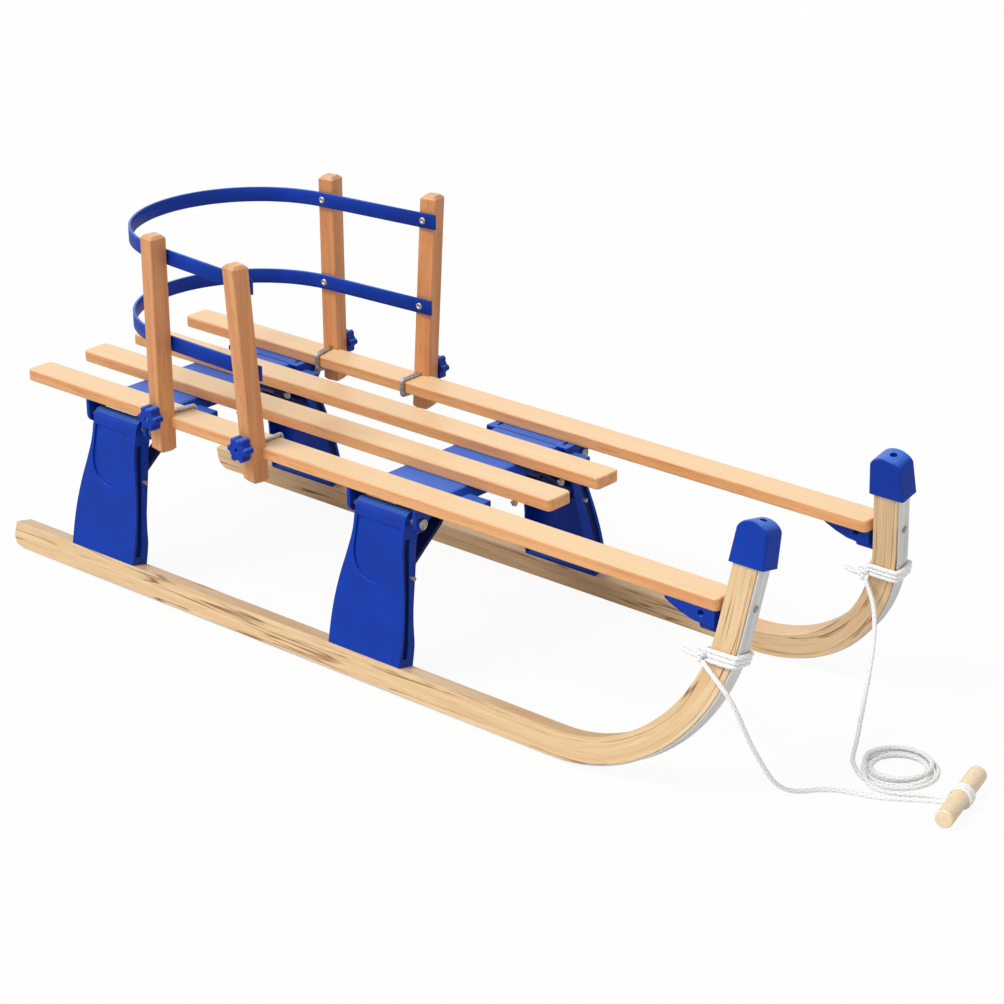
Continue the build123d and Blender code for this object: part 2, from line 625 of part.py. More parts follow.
hook_bore = HOOK_DIAMETER / 2 + RUNNING_CLEARANCE
post_bores += [rod_y(hook_bore, SLAT_EDGE_Y - 5, SLAT_EDGE_Y + 2 * POST_WIDTH, x, HOOK_Z)
               for x in (FRONT_POST_X, REAR_POST_X)]
for bore in post_bores:
    FRONT_POST -= bore
    REAR_POST -= bore
for rail_name, z in RAIL_MIDDLES:
    strip = rail(z)
    for bore in post_bores:
        strip -= bore
        strip -= mirror(bore, about=Plane.XZ)
    add(f"rail_{rail_name}", strip)
add("rail_bolts", Compound(children=[to_side(bolt, side) for _, side in SIDES for bolt in rail_bolts]), 8)


# Hooks that clamp the backrest to the outer slats, and their hand knobs
def hook(x, reach, outer_y):
    gap = HOOK_DIAMETER / 2 + SEAT_CLEARANCE
    edge_y = OUTER_SLAT_Y - SLAT_WIDTH / 2 - gap
    entry_y = SLAT_EDGE_Y + 1
    under_z = SLAT_BOTTOM - gap
    points = [Vector(x, outer_y, HOOK_Z), Vector(x, entry_y, HOOK_Z), Vector(x + reach, edge_y, HOOK_Z),
              Vector(x + reach, edge_y, under_z), Vector(x + reach, edge_y + HOOK_UNDER, under_z)]
    path = FilletPolyline(*points, radius=HOOK_DIAMETER * 0.7)
    section = Plane(origin=points[0], z_dir=(0, -1, 0)) * Circle(HOOK_DIAMETER / 2)
    return sweep(section, path=path)


def knob(x, inner_y):
    plan = Circle(KNOB_RADIUS * 0.78)
    for i in range(KNOB_LOBES):
        angle = radians(360 / KNOB_LOBES * i)
        lobe = Location((KNOB_RADIUS * 0.74 * cos(angle), KNOB_RADIUS * 0.74 * sin(angle)))
        plan += lobe * Circle(KNOB_RADIUS * 0.26)
    body = extrude(plan, KNOB_LENGTH)
    body = chamfer(body.faces().sort_by(Axis.Z)[-1].edges(), 1.5)
    body -= Cylinder(HOOK_DIAMETER / 2 + RUNNING_CLEARANCE, 4 * KNOB_LENGTH)
    return Location((x, inner_y, HOOK_Z)) * Rot(-90, 0, 0) * body


POSTS = (
    # place, post, x, where its outer face lets the knob sit
    ("front", FRONT_POST, FRONT_POST_X, front_post_face(HOOK_Z + KNOB_RADIUS) + FRONT_OUTER + SEAT_CLEARANCE),
    ("rear", REAR_POST, REAR_POST_X, REAR_POST_Y + REAR_POST_REACH + SEAT_CLEARANCE),
)
for side_name, side in SIDES:
    for place, post, x, knob_y in POSTS:
        add(f"post_{place}_{side_name}", to_side(post, side))
        add(f"hook_{place}_{side_name}", to_side(hook(x, HOOK_REACH[place], knob_y + KNOB_LENGTH * 0.6), side))
        add(f"knob_{place}_{side_name}", to_side(knob(x, knob_y), side))

# Tow rope. Each lead's points were chosen by hand from the horn to the handle.
LEAD_NEAR = [
    (499.6, -165.2, 163.4), (516, -168, 152), (533, -166, 137), (545, -157, 111), (550, -137, 80),
    (555, -116, 47), (560, -98, 20), (567, -78, 5), (579, -56, 3), (602, -44, 3), (630, -38, 3),
    (652, -24, 3), (672, -10, 3), (694.4, -3.6, 6),
]
LEAD_FAR = [
    (498, 126, 152.6), (508, 126, 136), (519, 117, 112), (528, 101, 86), (537, 80, 60), (547, 56, 34),
    (560, 30, 13), (572, 6, 4), (585, -12, 3), (606, -23, 3), (633, -22, 3), (657, -8, 3), (674, 2, 3),
    (692.6, 3.6, 6),
]


def corner_radii(points):
    """The largest round at each point: 0.45 of the shorter run over the tangent of half the turn."""
    radii = []
    for a, b, c in zip(points, points[1:], points[2:]):
        before, after = b - a, c - b
        turn = before.get_angle(after)
        radii.append(0.45 * min(before.length, after.length) / tan(radians(turn) / 2))
    return radii


def rope_tube(name, route):
    points = [Vector(*point) for point in route]
    radii = corner_radii(points)
    path = FilletPolyline(*points, radius=radii)
    tube = sweep(Plane(origin=points[0], z_dir=points[1] - points[0]) * Circle(ROPE / 2), path=path)
    length = sum(edge.length for edge in path.edges())
    whole = tube.volume / (pi * ROPE ** 2 / 4 * length)
    print(f"{name}: length {length:.0f} mm, radii {min(radii):.0f} to {max(radii):.0f} mm, volume {whole:.4f}")
    return tube


add("rope_lead_near", rope_tube("rope_lead_near", LEAD_NEAR))
add("rope_lead_far", rope_tube("rope_lead_far", LEAD_FAR))


# Turns of the rope round each horn, with its knot
def rope_wrap(knot_off):
    wrap = None
    rope = ROPE / 2
    for turn in range(WRAP_TURNS):
        u = WRAP_LOW_U + ROPE * turn + rope
        rear = horn_x(INNER_BEND, u) - WRAP_EASE
        front = horn_x(BEND_RADIUS, u) + WRAP_EASE
        outer = RectangleRounded(front - rear + 2 * ROPE, RUNNER_WIDTH + 2 * ROPE + 1, ROPE)
        inner = RectangleRounded(front - rear, RUNNER_WIDTH + 1, 0.5)
        ring = extrude(outer - inner, ROPE)
        place = Location(((rear + front) / 2, RUNNER_MIDDLE, u - rope))
        wrap = place * ring if wrap is None else wrap + place * ring
    knot_u = WRAP_LOW_U + ROPE * WRAP_TURNS / 2
    knot_x = horn_x(INNER_BEND, knot_u) - ROPE
    knot = Location((knot_x, knot_off, knot_u)) * Sphere(KNOT_RADIUS)
    return wrap + knot - runner_wood() - steel_band()


add("rope_wrap_near", on_side(rope_wrap(RUNNER_WIDTH + ROPE * 1.4), NEAR))
add("rope_wrap_far", on_side(rope_wrap(-ROPE * 1.4), FAR))

# The coil beside the horns: the outer shape of its loose turns
coil_section = Location(((COIL_OUTER + COIL_INNER) / 2, 0)) * Rectangle(COIL_OUTER - COIL_INNER, COIL_HEIGHT)
coil_section = chamfer(coil_section.vertices(), COIL_HEIGHT * 0.3)
COIL = revolve(Plane.XZ * coil_section, Axis.Z)
add("rope_coil", Location((COIL_X, COIL_Y, COIL_HEIGHT / 2)) * COIL)

# The wooden handle with the rope's last turns round its middle
HANDLE = Rot(0, 90, 0) * Cylinder(HANDLE_DIAMETER / 2, HANDLE_LENGTH)
HANDLE = chamfer(HANDLE.edges(), 1.5)
GRIP = Rot(0, 90, 0) * (Cylinder(HANDLE_DIAMETER / 2 + ROPE * 0.8, HANDLE_GRIP)
                        - Cylinder(HANDLE_DIAMETER / 2, 2 * HANDLE_GRIP))
HANDLE_PLACE = Location((HANDLE_X, HANDLE_Y, HANDLE_DIAMETER / 2 + ROPE * 0.8)) * Rot(0, 0, HANDLE_TURN)
add("rope_handle", HANDLE_PLACE * HANDLE)
add("rope_handle_turns", HANDLE_PLACE * GRIP)

os.makedirs("parts", exist_ok=True)
for name, shape in nodes.items():
    export_step(shape, f"parts/{name}.step")
print(f"{len(nodes)} nodes written")
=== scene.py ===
import logging
import math
from dataclasses import dataclass
from enum import Enum
from typing import Any, Callable, Mapping, Sequence

import bmesh
import bpy
from mathutils import Euler, Matrix, Vector


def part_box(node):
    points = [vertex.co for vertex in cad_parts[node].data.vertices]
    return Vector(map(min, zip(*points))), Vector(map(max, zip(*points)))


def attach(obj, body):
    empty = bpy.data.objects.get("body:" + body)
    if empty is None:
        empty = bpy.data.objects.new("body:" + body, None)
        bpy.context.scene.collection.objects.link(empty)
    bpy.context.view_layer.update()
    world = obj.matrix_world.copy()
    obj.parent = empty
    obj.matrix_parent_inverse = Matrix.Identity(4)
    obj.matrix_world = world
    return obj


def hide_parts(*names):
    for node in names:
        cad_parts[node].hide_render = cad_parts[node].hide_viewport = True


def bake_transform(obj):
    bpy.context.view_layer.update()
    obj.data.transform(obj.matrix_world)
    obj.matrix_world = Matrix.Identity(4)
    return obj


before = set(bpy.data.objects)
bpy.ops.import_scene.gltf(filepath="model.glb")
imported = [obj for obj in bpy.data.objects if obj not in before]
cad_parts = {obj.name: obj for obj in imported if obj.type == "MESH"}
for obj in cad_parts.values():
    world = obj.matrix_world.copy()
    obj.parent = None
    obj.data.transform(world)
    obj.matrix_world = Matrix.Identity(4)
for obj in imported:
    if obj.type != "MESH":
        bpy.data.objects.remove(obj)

MM = 0.001
Colour = tuple[float, float, float, float]
Place = tuple[float, float, float]
Pairs = tuple[tuple[float, float], ...]
Materials = dict[str, bpy.types.Material]
log = logging.getLogger("sled")
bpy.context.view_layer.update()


class Side(Enum):
    """The two sides of the sled, by the sign of their y."""

    NEAR = -1
    FAR = 1

    @property
    def label(self) -> str:
        """The side's word in the names of nodes."""
        return self.name.lower()

    @property
    def body(self) -> str:
        """The body that the side's runner, legs and horn are in."""
        return f"side_{self.label}"


class Grain(Enum):
    """The way the grain of a straight piece runs, as stretches of x, y and z."""

    ALONG_X = (0.035, 1.0, 1.0)
    ALONG_Z = (1.0, 1.0, 0.035)
    HANDLE = (1.0, 0.05, 1.0)


def srgb(red: int, green: int, blue: int) -> Colour:
    """Turn a colour as it looks on a screen into the linear one that shaders take.

    Args:
        red: red, 0 to 255.
        green: green, 0 to 255.
        blue: blue, 0 to 255.

    Returns:
        The linear colour, opaque.
    """
    def linear(value: int) -> float:
        """Turn one channel linear."""
        share = value / 255
        return share / 12.92 if share <= 0.04045 else ((share + 0.055) / 1.055) ** 2.4
    return linear(red), linear(green), linear(blue), 1.0


def half_turn(steps: int) -> list[float]:
    """Divide half a turn into steps, from 0 to pi."""
    return [math.pi * k / steps for k in range(steps + 1)]


def operator(operation: str, swapped: bool = False) -> Callable[[Any, Any], Any]:
    """Make one of a signal's operators.

    Args:
        operation: the Math node's operation.
        swapped: whether the signal is its second value.

    Returns:
        The operator.
    """
    def run(signal: Any, other: Any) -> Any:
        """Run the operation on a signal and another value."""
        values = (other, signal) if swapped else (signal, other)
        return signal.graph.math(operation, *values)
    return run


class Signal:
    """A shader socket that can be reckoned with as a number is."""

    __add__, __radd__ = operator("ADD"), operator("ADD", True)
    __sub__, __rsub__ = operator("SUBTRACT"), operator("SUBTRACT", True)
    __mul__, __rmul__ = operator("MULTIPLY"), operator("MULTIPLY", True)
    __gt__ = operator("GREATER_THAN")

    def __init__(self, graph: "Graph", socket: bpy.types.NodeSocket) -> None:
        """Keep a graph and one of its output sockets."""
        self.graph = graph
        self.socket = socket

    def __neg__(self) -> "Signal":
        """Turn the sign round."""
        return self.graph.math("MULTIPLY", self, -1.0)

    def __abs__(self) -> "Signal":
        """Take the size without the sign."""
        return self.graph.math("ABSOLUTE", self)

    def apply(self, operation: str, *others: Any) -> "Signal":
        """Run another operation of the Math node on this signal and further values."""
        return self.graph.math(operation, self, *others)

    def ramp(self, low: float, high: float) -> "Signal":
        """Rise smoothly from 0 where the signal is low to 1 where it is high."""
        settings = {"interpolation_type": "SMOOTHSTEP"}
        return self.graph.node("ShaderNodeMapRange", settings, {0: self, 1: low, 2: high})

    def parts(self) -> tuple["Signal", "Signal", "Signal"]:
        """Split a vector into its x, y and z."""
        made = [self.graph.node("ShaderNodeSeparateXYZ", {}, {0: self}, axis) for axis in range(3)]
        return made[0], made[1], made[2]


class Graph:
    """The nodes of one material or world."""

    def __init__(self, tree: bpy.types.NodeTree) -> None:
        """Keep the node tree to build in."""
        self.tree = tree

    def node(self, kind: str, settings: Mapping[str, Any], values: Mapping[Any, Any],
             output: int | str = 0) -> Signal:
        """Add a node.

        Args:
            kind: the node's type.
            settings: its own settings, set before its sockets.
            values: numbers, colours or signals for its input sockets, by name or place.
            output: which output to give back.

        Returns:
            That output.
        """
        made = self.tree.nodes.new(kind)
        for name, value in settings.items():
            setattr(made, name, value)
        for name, value in values.items():
            self.feed(made.inputs[name], value)
        return Signal(self, made.outputs[output])

    def feed(self, socket: bpy.types.NodeSocket, value: Any) -> None:
        """Link a signal to an input socket, or write a plain value on it.

        Args:
            socket: the input socket.
            value: a signal, number, vector or colour.
        """
        if isinstance(value, Signal):
            self.tree.links.new(value.socket, socket)
        else:
            socket.default_value = value

    def math(self, operation: str, *values: Any) -> Signal:
        """Add a Math node with its values in order."""
        return self.node("ShaderNodeMath", {"operation": operation}, dict(enumerate(values)))

    def place(self) -> Signal:
        """Give the place on the piece, in metres in the frame of the sled at rest."""
        return self.node("ShaderNodeTexCoord", {}, {}, "Object")

    def vector(self, x: Any, y: Any, z: Any) -> Signal:
        """Join three values to a vector."""
        return self.node("ShaderNodeCombineXYZ", {}, {0: x, 1: y, 2: z})

    def stretch(self, vector: Signal, scale: Sequence[float]) -> Signal:
        """Scale a vector by three scales, one for each axis."""
        return self.node("ShaderNodeVectorMath", {"operation": "MULTIPLY"}, {0: vector, 1: tuple(scale)})

    def noise(self, vector: Signal, scale: float, detail: float = 2.0, rough: float = 0.5) -> Signal:
        """Sample noise about 0.5, with scale cells in a metre, detail finer layers and how rough they are."""
        values = {"Vector": vector, "Scale": scale, "Detail": detail, "Roughness": rough}
        return self.node("ShaderNodeTexNoise", {}, values)

    def mix(self, share: Any, first: Any, second: Any) -> Signal:
        """Mix two colours, with a share from 0 to 1 of the second."""
        return self.node("ShaderNodeMix", {"data_type": "RGBA"}, {0: share, 6: first, 7: second}, 2)

    def bump(self, height: Any, depth: float, strength: float = 1.0) -> Signal:
        """Turn a height from 0 to 1, where 1 is depth metres, into a normal, as strong as strength."""
        return self.node("ShaderNodeBump", {}, {"Height": height, "Distance": depth, "Strength": strength})


@dataclass(frozen=True)
class Finish:
    """What all finishes share: a name and the shader's numbers that don't vary."""

    name: str
    metallic: float = 0.0
    roughness: float = 0.4
    specular: float = 0.5
    coat: float = 0.0
    coat_roughness: float = 0.15

    def vary(self, graph: Graph) -> dict[str, Any]:
        """Say what varies over the surface, as values by the shader's input names."""
        raise NotImplementedError

    def material(self) -> bpy.types.Material:
        """Build the finish.

        Returns:
            The material.
        """
        made = bpy.data.materials.new(self.name)
        made.use_nodes = True
        graph = Graph(made.node_tree)
        shader = made.node_tree.nodes["Principled BSDF"]
        plain = {"Metallic": self.metallic, "Roughness": self.roughness, "Specular IOR Level": self.specular,
                 "Coat Weight": self.coat, "Coat Roughness": self.coat_roughness}
        for name, value in {**plain, **self.vary(graph)}.items():
            graph.feed(shader.inputs[name], value)
        return made


@dataclass(frozen=True)
class SeatWood(Finish):
    """Varnished beech: warm bands along the grain with short dark flecks, and painted light making faces that look up
    paler.
    """

    grain: Grain = Grain.ALONG_X
    pale: Colour = srgb(236, 176, 118)
    warm: Colour = srgb(212, 142, 86)
    fleck: Colour = srgb(158, 92, 48)
    # painted light: the pale colour that faces looking up take, standing in for light from above
    top: Colour = srgb(255, 222, 172)
    band_scale: float = 95.0
    fleck_scale: float = 620.0
    # how much of the painted light the faces that look up get
    top_share: float = 0.72

    def vary(self, graph: Graph) -> dict[str, Any]:
        """Vary the colour with bands and flecks, and paint light on the faces that look up.

        Args:
            graph: the material's graph.

        Returns:
            Values by the shader's input names.
        """
        along = graph.stretch(graph.place(), self.grain.value)
        piece = graph.node("ShaderNodeObjectInfo", {}, {}, "Random")
        shift = graph.vector(piece, piece, 0.0)
        shifted = graph.node("ShaderNodeVectorMath", {"operation": "ADD"}, {0: along, 1: shift})
        bands = graph.noise(shifted, self.band_scale, 4.0, 0.55).ramp(0.34, 0.68)
        broad = graph.noise(shifted, self.band_scale / 6, 1.0).ramp(0.35, 0.65)
        flecks = graph.noise(shifted, self.fleck_scale, 1.0).ramp(0.6, 0.74)
        colour = graph.mix(bands * 0.62 + broad * 0.2 + piece * 0.16, self.pale, self.warm)
        colour = graph.mix(flecks * 0.42, colour, self.fleck)
        # painted light: faces that look up are mixed towards the pale top colour
        painted_light_facing = graph.node("ShaderNodeNewGeometry", {}, {}, "Normal").parts()[2]
        colour = graph.mix(painted_light_facing.ramp(0.55, 0.95) * self.top_share, colour, self.top)
        return {
            "Base Color": colour,
            "Roughness": 0.34 + bands * 0.1 + flecks * 0.12,
            "Normal": graph.bump(1.0 - flecks * 0.7 - bands * 0.2, 0.00012),
        }


@dataclass(frozen=True)
class SidePlane:
    """The leaning side in millimetres: x, off outward from its inner face, and u up the side."""

    lean: float = math.radians(11.4)
    foot_y: float = 165.3
    drop: float = 2.0 * math.sin(lean)
    bend_x: float = 319.5
    bend_radius: float = 218.0
    depth: float = 31.3
    width: float = 23.0
    horn_lean: float = math.radians(6.0)

    def world(self, x: float, off: float, u: float, side: Side) -> Vector:
        """Find a place of the side in the frame.

        Args:
            x: along the sled.
            off: outward from the inner face.
            u: up the side.
            side: which side.

        Returns:
            The place in metres.
        """
        y = self.foot_y + off * math.cos(self.lean) - u * math.sin(self.lean)
        z = off * math.sin(self.lean) + u * math.cos(self.lean) - self.drop
        return Vector((x, side.value * y, z)) * MM

    def horn_x(self, radius: float, u: float) -> float:
        """Find the face of a bend radius at a height.

        Args:
            radius: the bend's radius to that face.
            u: the height up the side.

        Returns:
            Its x in millimetres.
        """
        end_x = self.bend_x + radius * math.cos(self.horn_lean)
        end_u = self.bend_radius - radius * math.sin(self.horn_lean)
        if u < end_u:
            return self.bend_x + math.sqrt(radius ** 2 - (self.bend_radius - u) ** 2)
        return end_x + (u - end_u) * math.tan(self.horn_lean)

    def run(self, graph: Graph) -> tuple[Signal, Signal, Signal]:
        """Follow the bent runner in a shader.

        Args:
            graph: the material's graph.

        Returns:
            The way along it, the depth from its outer face and the way across, in metres.
        """
        x, y, z = graph.place().parts()
        out = abs(y) - self.foot_y * MM
        up = z + self.drop * MM
        off = out * math.cos(self.lean) + up * math.sin(self.lean)
        rise = up * math.cos(self.lean) - out * math.sin(self.lean) - self.bend_radius * MM
        ahead = x - self.bend_x * MM
        bent = ahead > 0.0
        radius = (ahead * ahead + rise * rise).apply("SQRT")
        cosine, sine = math.cos(self.horn_lean), math.sin(self.horn_lean)
        straight = (rise + ahead * math.tan(self.horn_lean)) > 0.0
        horn_reach = ahead * cosine - rise * sine
        reach = -rise * (1.0 - bent) + bent * (radius * (1.0 - straight) + horn_reach * straight)
        angle = graph.math("ARCTAN2", ahead, -rise)
        turned = angle * (self.bend_radius * MM)
        beyond = (math.pi / 2 - self.horn_lean) * self.bend_radius * MM + ahead * sine + rise * cosine
        along = ahead * (1.0 - bent) + bent * (turned * (1.0 - straight) + beyond * straight)
        return along, self.bend_radius * MM - reach, off


@dataclass(frozen=True)
class RunnerWood(Finish):
    """Bent, varnished wood whose thin brown growth lines follow the bend."""

    plane: SidePlane = SidePlane()
    pale: Colour = srgb(232, 201, 157)
    warm: Colour = srgb(210, 170, 120)
    line: Colour = srgb(128, 82, 44)

    def vary(self, graph: Graph) -> dict[str, Any]:
        """Draw the growth lines and pores along the bend.

        Args:
            graph: the material's graph.

        Returns:
            Values by the shader's input names.
        """
        along, depth, off = self.plane.run(graph)
        sheet = graph.vector(along * 0.9, depth * 26.0, off * 7.0)
        bands = graph.noise(sheet, 6.0, 5.0, 0.6).ramp(0.3, 0.7)
        wave = graph.noise(graph.vector(along * 0.55, depth * 14.0, off * 3.0), 5.0, 2.0)
        lines = 1.0 - (abs(wave - 0.47) * 40.0).ramp(0.0, 1.0)
        fade = graph.noise(graph.vector(along * 3.0, depth * 30.0, off * 10.0), 4.0, 2.0).ramp(0.38, 0.56)
        pores = graph.noise(graph.vector(along * 25.0, depth * 600.0, off * 600.0), 1.0, 1.0).ramp(0.58, 0.75)
        colour = graph.mix(bands * 0.75, self.pale, self.warm)
        colour = graph.mix(lines * fade * 0.85 + pores * 0.25, colour, self.line)
        return {
            "Base Color": colour,
            "Roughness": 0.36 + bands * 0.12 + pores * 0.1,
            "Normal": graph.bump(1.0 - lines * fade * 0.6 - pores * 0.4, 0.00015),
        }


@dataclass(frozen=True)
class Plastic(Finish):
    """Moulded plastic with a faint pebbled skin and uneven gloss, and a painted highlight making it paler where it
    faces up.
    """

    colour: Colour = srgb(4, 56, 166)
    shade: Colour = srgb(2, 46, 146)
    # painted highlight: the paler blue that faces looking up take, and how much of it
    top: Colour = srgb(70, 122, 218)
    top_share: float = 0.8
    pebble: float = 1500.0

    def vary(self, graph: Graph) -> dict[str, Any]:
        """Cloud the colour, pebble the skin and paint a highlight where it faces up.

        Args:
            graph: the material's graph.

        Returns:
            Values by the shader's input names.
        """
        place = graph.place()
        cloud = graph.noise(place, 28.0, 3.0).ramp(0.3, 0.7)
        skin = graph.noise(place, self.pebble, 2.0)
        # painted highlight: faces that look up are mixed towards the paler blue
        painted_light_facing = graph.node("ShaderNodeNewGeometry", {}, {}, "Normal").parts()[2]
        colour = graph.mix(cloud * 0.6, self.colour, self.shade)
        return {
            "Base Color": graph.mix(painted_light_facing.ramp(0.55, 0.98) * self.top_share, colour, self.top),
            "Roughness": self.roughness + cloud * 0.08 + skin * 0.04,
            "Normal": graph.bump(skin, 0.00003, 0.6),
        }


@dataclass(frozen=True)
class BandSteel(Finish):
    """A drawn steel strip, its fine scratches along the runner."""

    plane: SidePlane = SidePlane()
    bright: Colour = srgb(242, 241, 238)
    dull: Colour = srgb(196, 196, 198)

    def vary(self, graph: Graph) -> dict[str, Any]:
        """Scratch and smear the strip.

        Args:
            graph: the material's graph.

        Returns:
            Values by the shader's input names.
        """
        along, depth, off = self.plane.run(graph)
        scratch = graph.noise(graph.vector(along * 4.0, depth * 300.0, off * 900.0), 1.0, 3.0, 0.6)
        smear = graph.noise(graph.vector(along * 10.0, depth * 20.0, off * 40.0), 1.0, 2.0).ramp(0.4, 0.7)
        return {
            "Base Color": graph.mix(scratch.ramp(0.35, 0.7) * 0.6 + smear * 0.3, self.bright, self.dull),
            "Roughness": 0.24 + scratch * 0.2 + smear * 0.1,
            "Normal": graph.bump(scratch, 0.00004, 0.5),
        }


@dataclass(frozen=True)
class Zinc(Finish):
    """Zinc-plated steel with cloudy crystals."""

    bright: Colour = srgb(214, 213, 208)
    dull: Colour = srgb(150, 150, 150)

    def vary(self, graph: Graph) -> dict[str, Any]:
        """Cloud the plating.

        Args:
            graph: the material's graph.

        Returns:
            Values by the shader's input names.
        """
        place = graph.place()
        cloud = graph.noise(place, 260.0, 3.0).ramp(0.35, 0.65)
        fine = graph.noise(place, 1400.0, 2.0)
        return {
            "Base Color": graph.mix(cloud * 0.7, self.bright, self.dull),
            "Roughness": 0.22 + cloud * 0.16,
            "Normal": graph.bump(fine, 0.00004, 0.5),
        }


@dataclass(frozen=True)
class Braid(Finish):
    """White braided cord: a diamond pattern round the tube, soft and slightly fuzzy, with painted shade in the grooves
    between the plaits.
    """

    pale: Colour = srgb(255, 255, 253)
    # painted shade: the grey laid in the grooves between the plaits
    groove: Colour = srgb(222, 222, 222)
    plaits: int = 4

    def vary(self, graph: Graph) -> dict[str, Any]:
        """Plait the cord by its UV map, with painted shade in its grooves.

        Args:
            graph: the material's graph.

        Returns:
            Values by the shader's input names.
        """
        along, round_it, _ = graph.node("ShaderNodeUVMap", {"uv_map": "UVMap"}, {}).parts()
        turn = 2 * math.pi
        left = ((along * 1.6 + round_it * self.plaits) * turn).apply("SINE")
        right = ((along * 1.6 - round_it * self.plaits) * turn).apply("SINE")
        plait = left.apply("MAXIMUM", right).ramp(-0.2, 0.9)
        fuzz = graph.noise(graph.place(), 2600.0, 2.0)
        return {
            # painted shade: the grooves between the plaits are mixed towards grey
            "Base Color": graph.mix((1.0 - plait) * 0.75 + fuzz * 0.12, self.pale, self.groove),
            "Roughness": 0.72 + fuzz * 0.2,
            "Normal": graph.bump(plait + fuzz * 0.3, 0.0004, 0.6),
        }


@dataclass(frozen=True)
class Finishes:
    """The sled's finishes, by the record's material slots."""

    slats: Finish = SeatWood("seat_wood_slats", coat=0.35, coat_roughness=0.28)
    posts: Finish = SeatWood("seat_wood_posts", coat=0.25, coat_roughness=0.3, grain=Grain.ALONG_Z,
                             pale=srgb(226, 160, 104), warm=srgb(200, 128, 76), top_share=0.3)
    runners: Finish = RunnerWood("runner_wood", coat=0.3, coat_roughness=0.3)
    blue: Finish = Plastic("blue_plastic", roughness=0.26, specular=0.22)
    dark: Finish = Plastic("dark_plastic", roughness=0.42, colour=srgb(6, 28, 92), shade=srgb(4, 18, 64),
                           specular=0.3, top_share=0.1)
    band: Finish = BandSteel("band_steel", metallic=0.15)
    zinc: Finish = Zinc("zinc", metallic=0.8)
    handle: Finish = SeatWood("handle_wood", grain=Grain.HANDLE, pale=srgb(246, 228, 194),
                              warm=srgb(234, 208, 166), top_share=0.2)
    rope: Finish = Braid("rope")


@dataclass
class Lathe:
    """A turned piece: a profile of radius and height spun round an axis."""

    profile: Sequence[tuple[float, float]]
    segments: int = 32

    def build(self, name: str, centre: Vector, axis: Vector, finish: bpy.types.Material) -> bpy.types.Object:
        """Make the piece.

        Args:
            name: the piece's name.
            centre: where height 0 is, in metres.
            axis: the way its height grows.
            finish: its material.

        Returns:
            The object.
        """
        turn = axis.normalized().to_track_quat("Z", "Y").to_matrix()
        angles = [2 * math.pi * i / self.segments for i in range(self.segments)]
        rings = [[centre + turn @ (Vector((radius * math.cos(angle), radius * math.sin(angle), height)) * MM)
                  for angle in angles] for radius, height in self.profile]
        return loft(name, rings, finish, smooth=True)


@dataclass
class Tube:
    """A round tube along points, with its length and turn kept in a UV map."""

    radius: float
    sides: int = 12
    end_reach: float = 0.45
    end_share: float = 0.6

    def build(self, name: str, points: Sequence[Vector], finish: bpy.types.Material) -> bpy.types.Object:
        """Make the tube.

        Args:
            name: the piece's name.
            points: its middle line, in metres.
            finish: its material.

        Returns:
            The object.
        """
        shape = bmesh.new()
        radius = self.radius * MM
        normal = Vector((0, 0, 1)).cross(points[1] - points[0])
        if normal.length < 1e-9:
            normal = Vector((1, 0, 0))
        rings, lengths, length = [], [], 0.0
        last = len(points) - 1
        for i, point in enumerate(points):
            tangent = (points[min(i + 1, last)] - points[max(i - 1, 0)]).normalized()
            normal = (normal - tangent * normal.dot(tangent)).normalized()
            other = tangent.cross(normal)
            length += (point - points[i - 1]).length if i else 0.0
            steps = [(0.0, 1.0)]
            if i == 0:
                steps.insert(0, (-self.end_reach, self.end_share))
            elif i == last:
                steps.append((self.end_reach, self.end_share))
            for shift, share in steps:
                middle = point + tangent * (shift * radius)
                ring = []
                for k in range(self.sides):
                    angle = 2 * math.pi * k / self.sides
                    way = normal * math.cos(angle) + other * math.sin(angle)
                    ring.append(shape.verts.new(middle + way * (radius * share)))
                rings.append(ring)
                lengths.append((length + shift * radius) / (2 * math.pi * radius))
        layer = shape.loops.layers.uv.new("UVMap")
        for a, (low, high) in enumerate(zip(rings, rings[1:])):
            for k in range(self.sides):
                n = (k + 1) % self.sides
                face = shape.faces.new((low[k], low[n], high[n], high[k]))
                for loop, (along, turn) in zip(face.loops, ((a, k), (a, k + 1), (a + 1, k + 1), (a + 1, k))):
                    loop[layer].uv = (lengths[along], turn / self.sides)
        shape.faces.new(list(reversed(rings[0])))
        shape.faces.new(rings[-1])
        return finish_mesh(name, shape, finish, smooth=True)


def add_loft(shape: bmesh.types.BMesh, outlines: Sequence[Sequence[Vector]]) -> None:
    """Add a closed skin over outlines.

    Args:
        shape: the mesh being built.
        outlines: outlines from one end to the other, in metres, with as many points each.
    """
    rings = [[shape.verts.new(point) for point in outline] for outline in outlines]
    for low, high in zip(rings, rings[1:]):
        count = len(low)
        for k in range(count):
            shape.faces.new((low[k], low[(k + 1) % count], high[(k + 1) % count], high[k]))
    shape.faces.new(list(reversed(rings[0])))
    shape.faces.new(rings[-1])


def loft(name: str, outlines: Sequence[Sequence[Vector]], finish: bpy.types.Material,
         smooth: bool = False) -> bpy.types.Object:
    """Make a closed piece over outlines.

    Args:
        name: the piece's name.
        outlines: its outlines, as add_loft takes them.
        finish: its material.
        smooth: whether its four-cornered faces are shaded smooth.

    Returns:
        The object.
    """
    shape = bmesh.new()
    add_loft(shape, outlines)
    return finish_mesh(name, shape, finish, smooth)


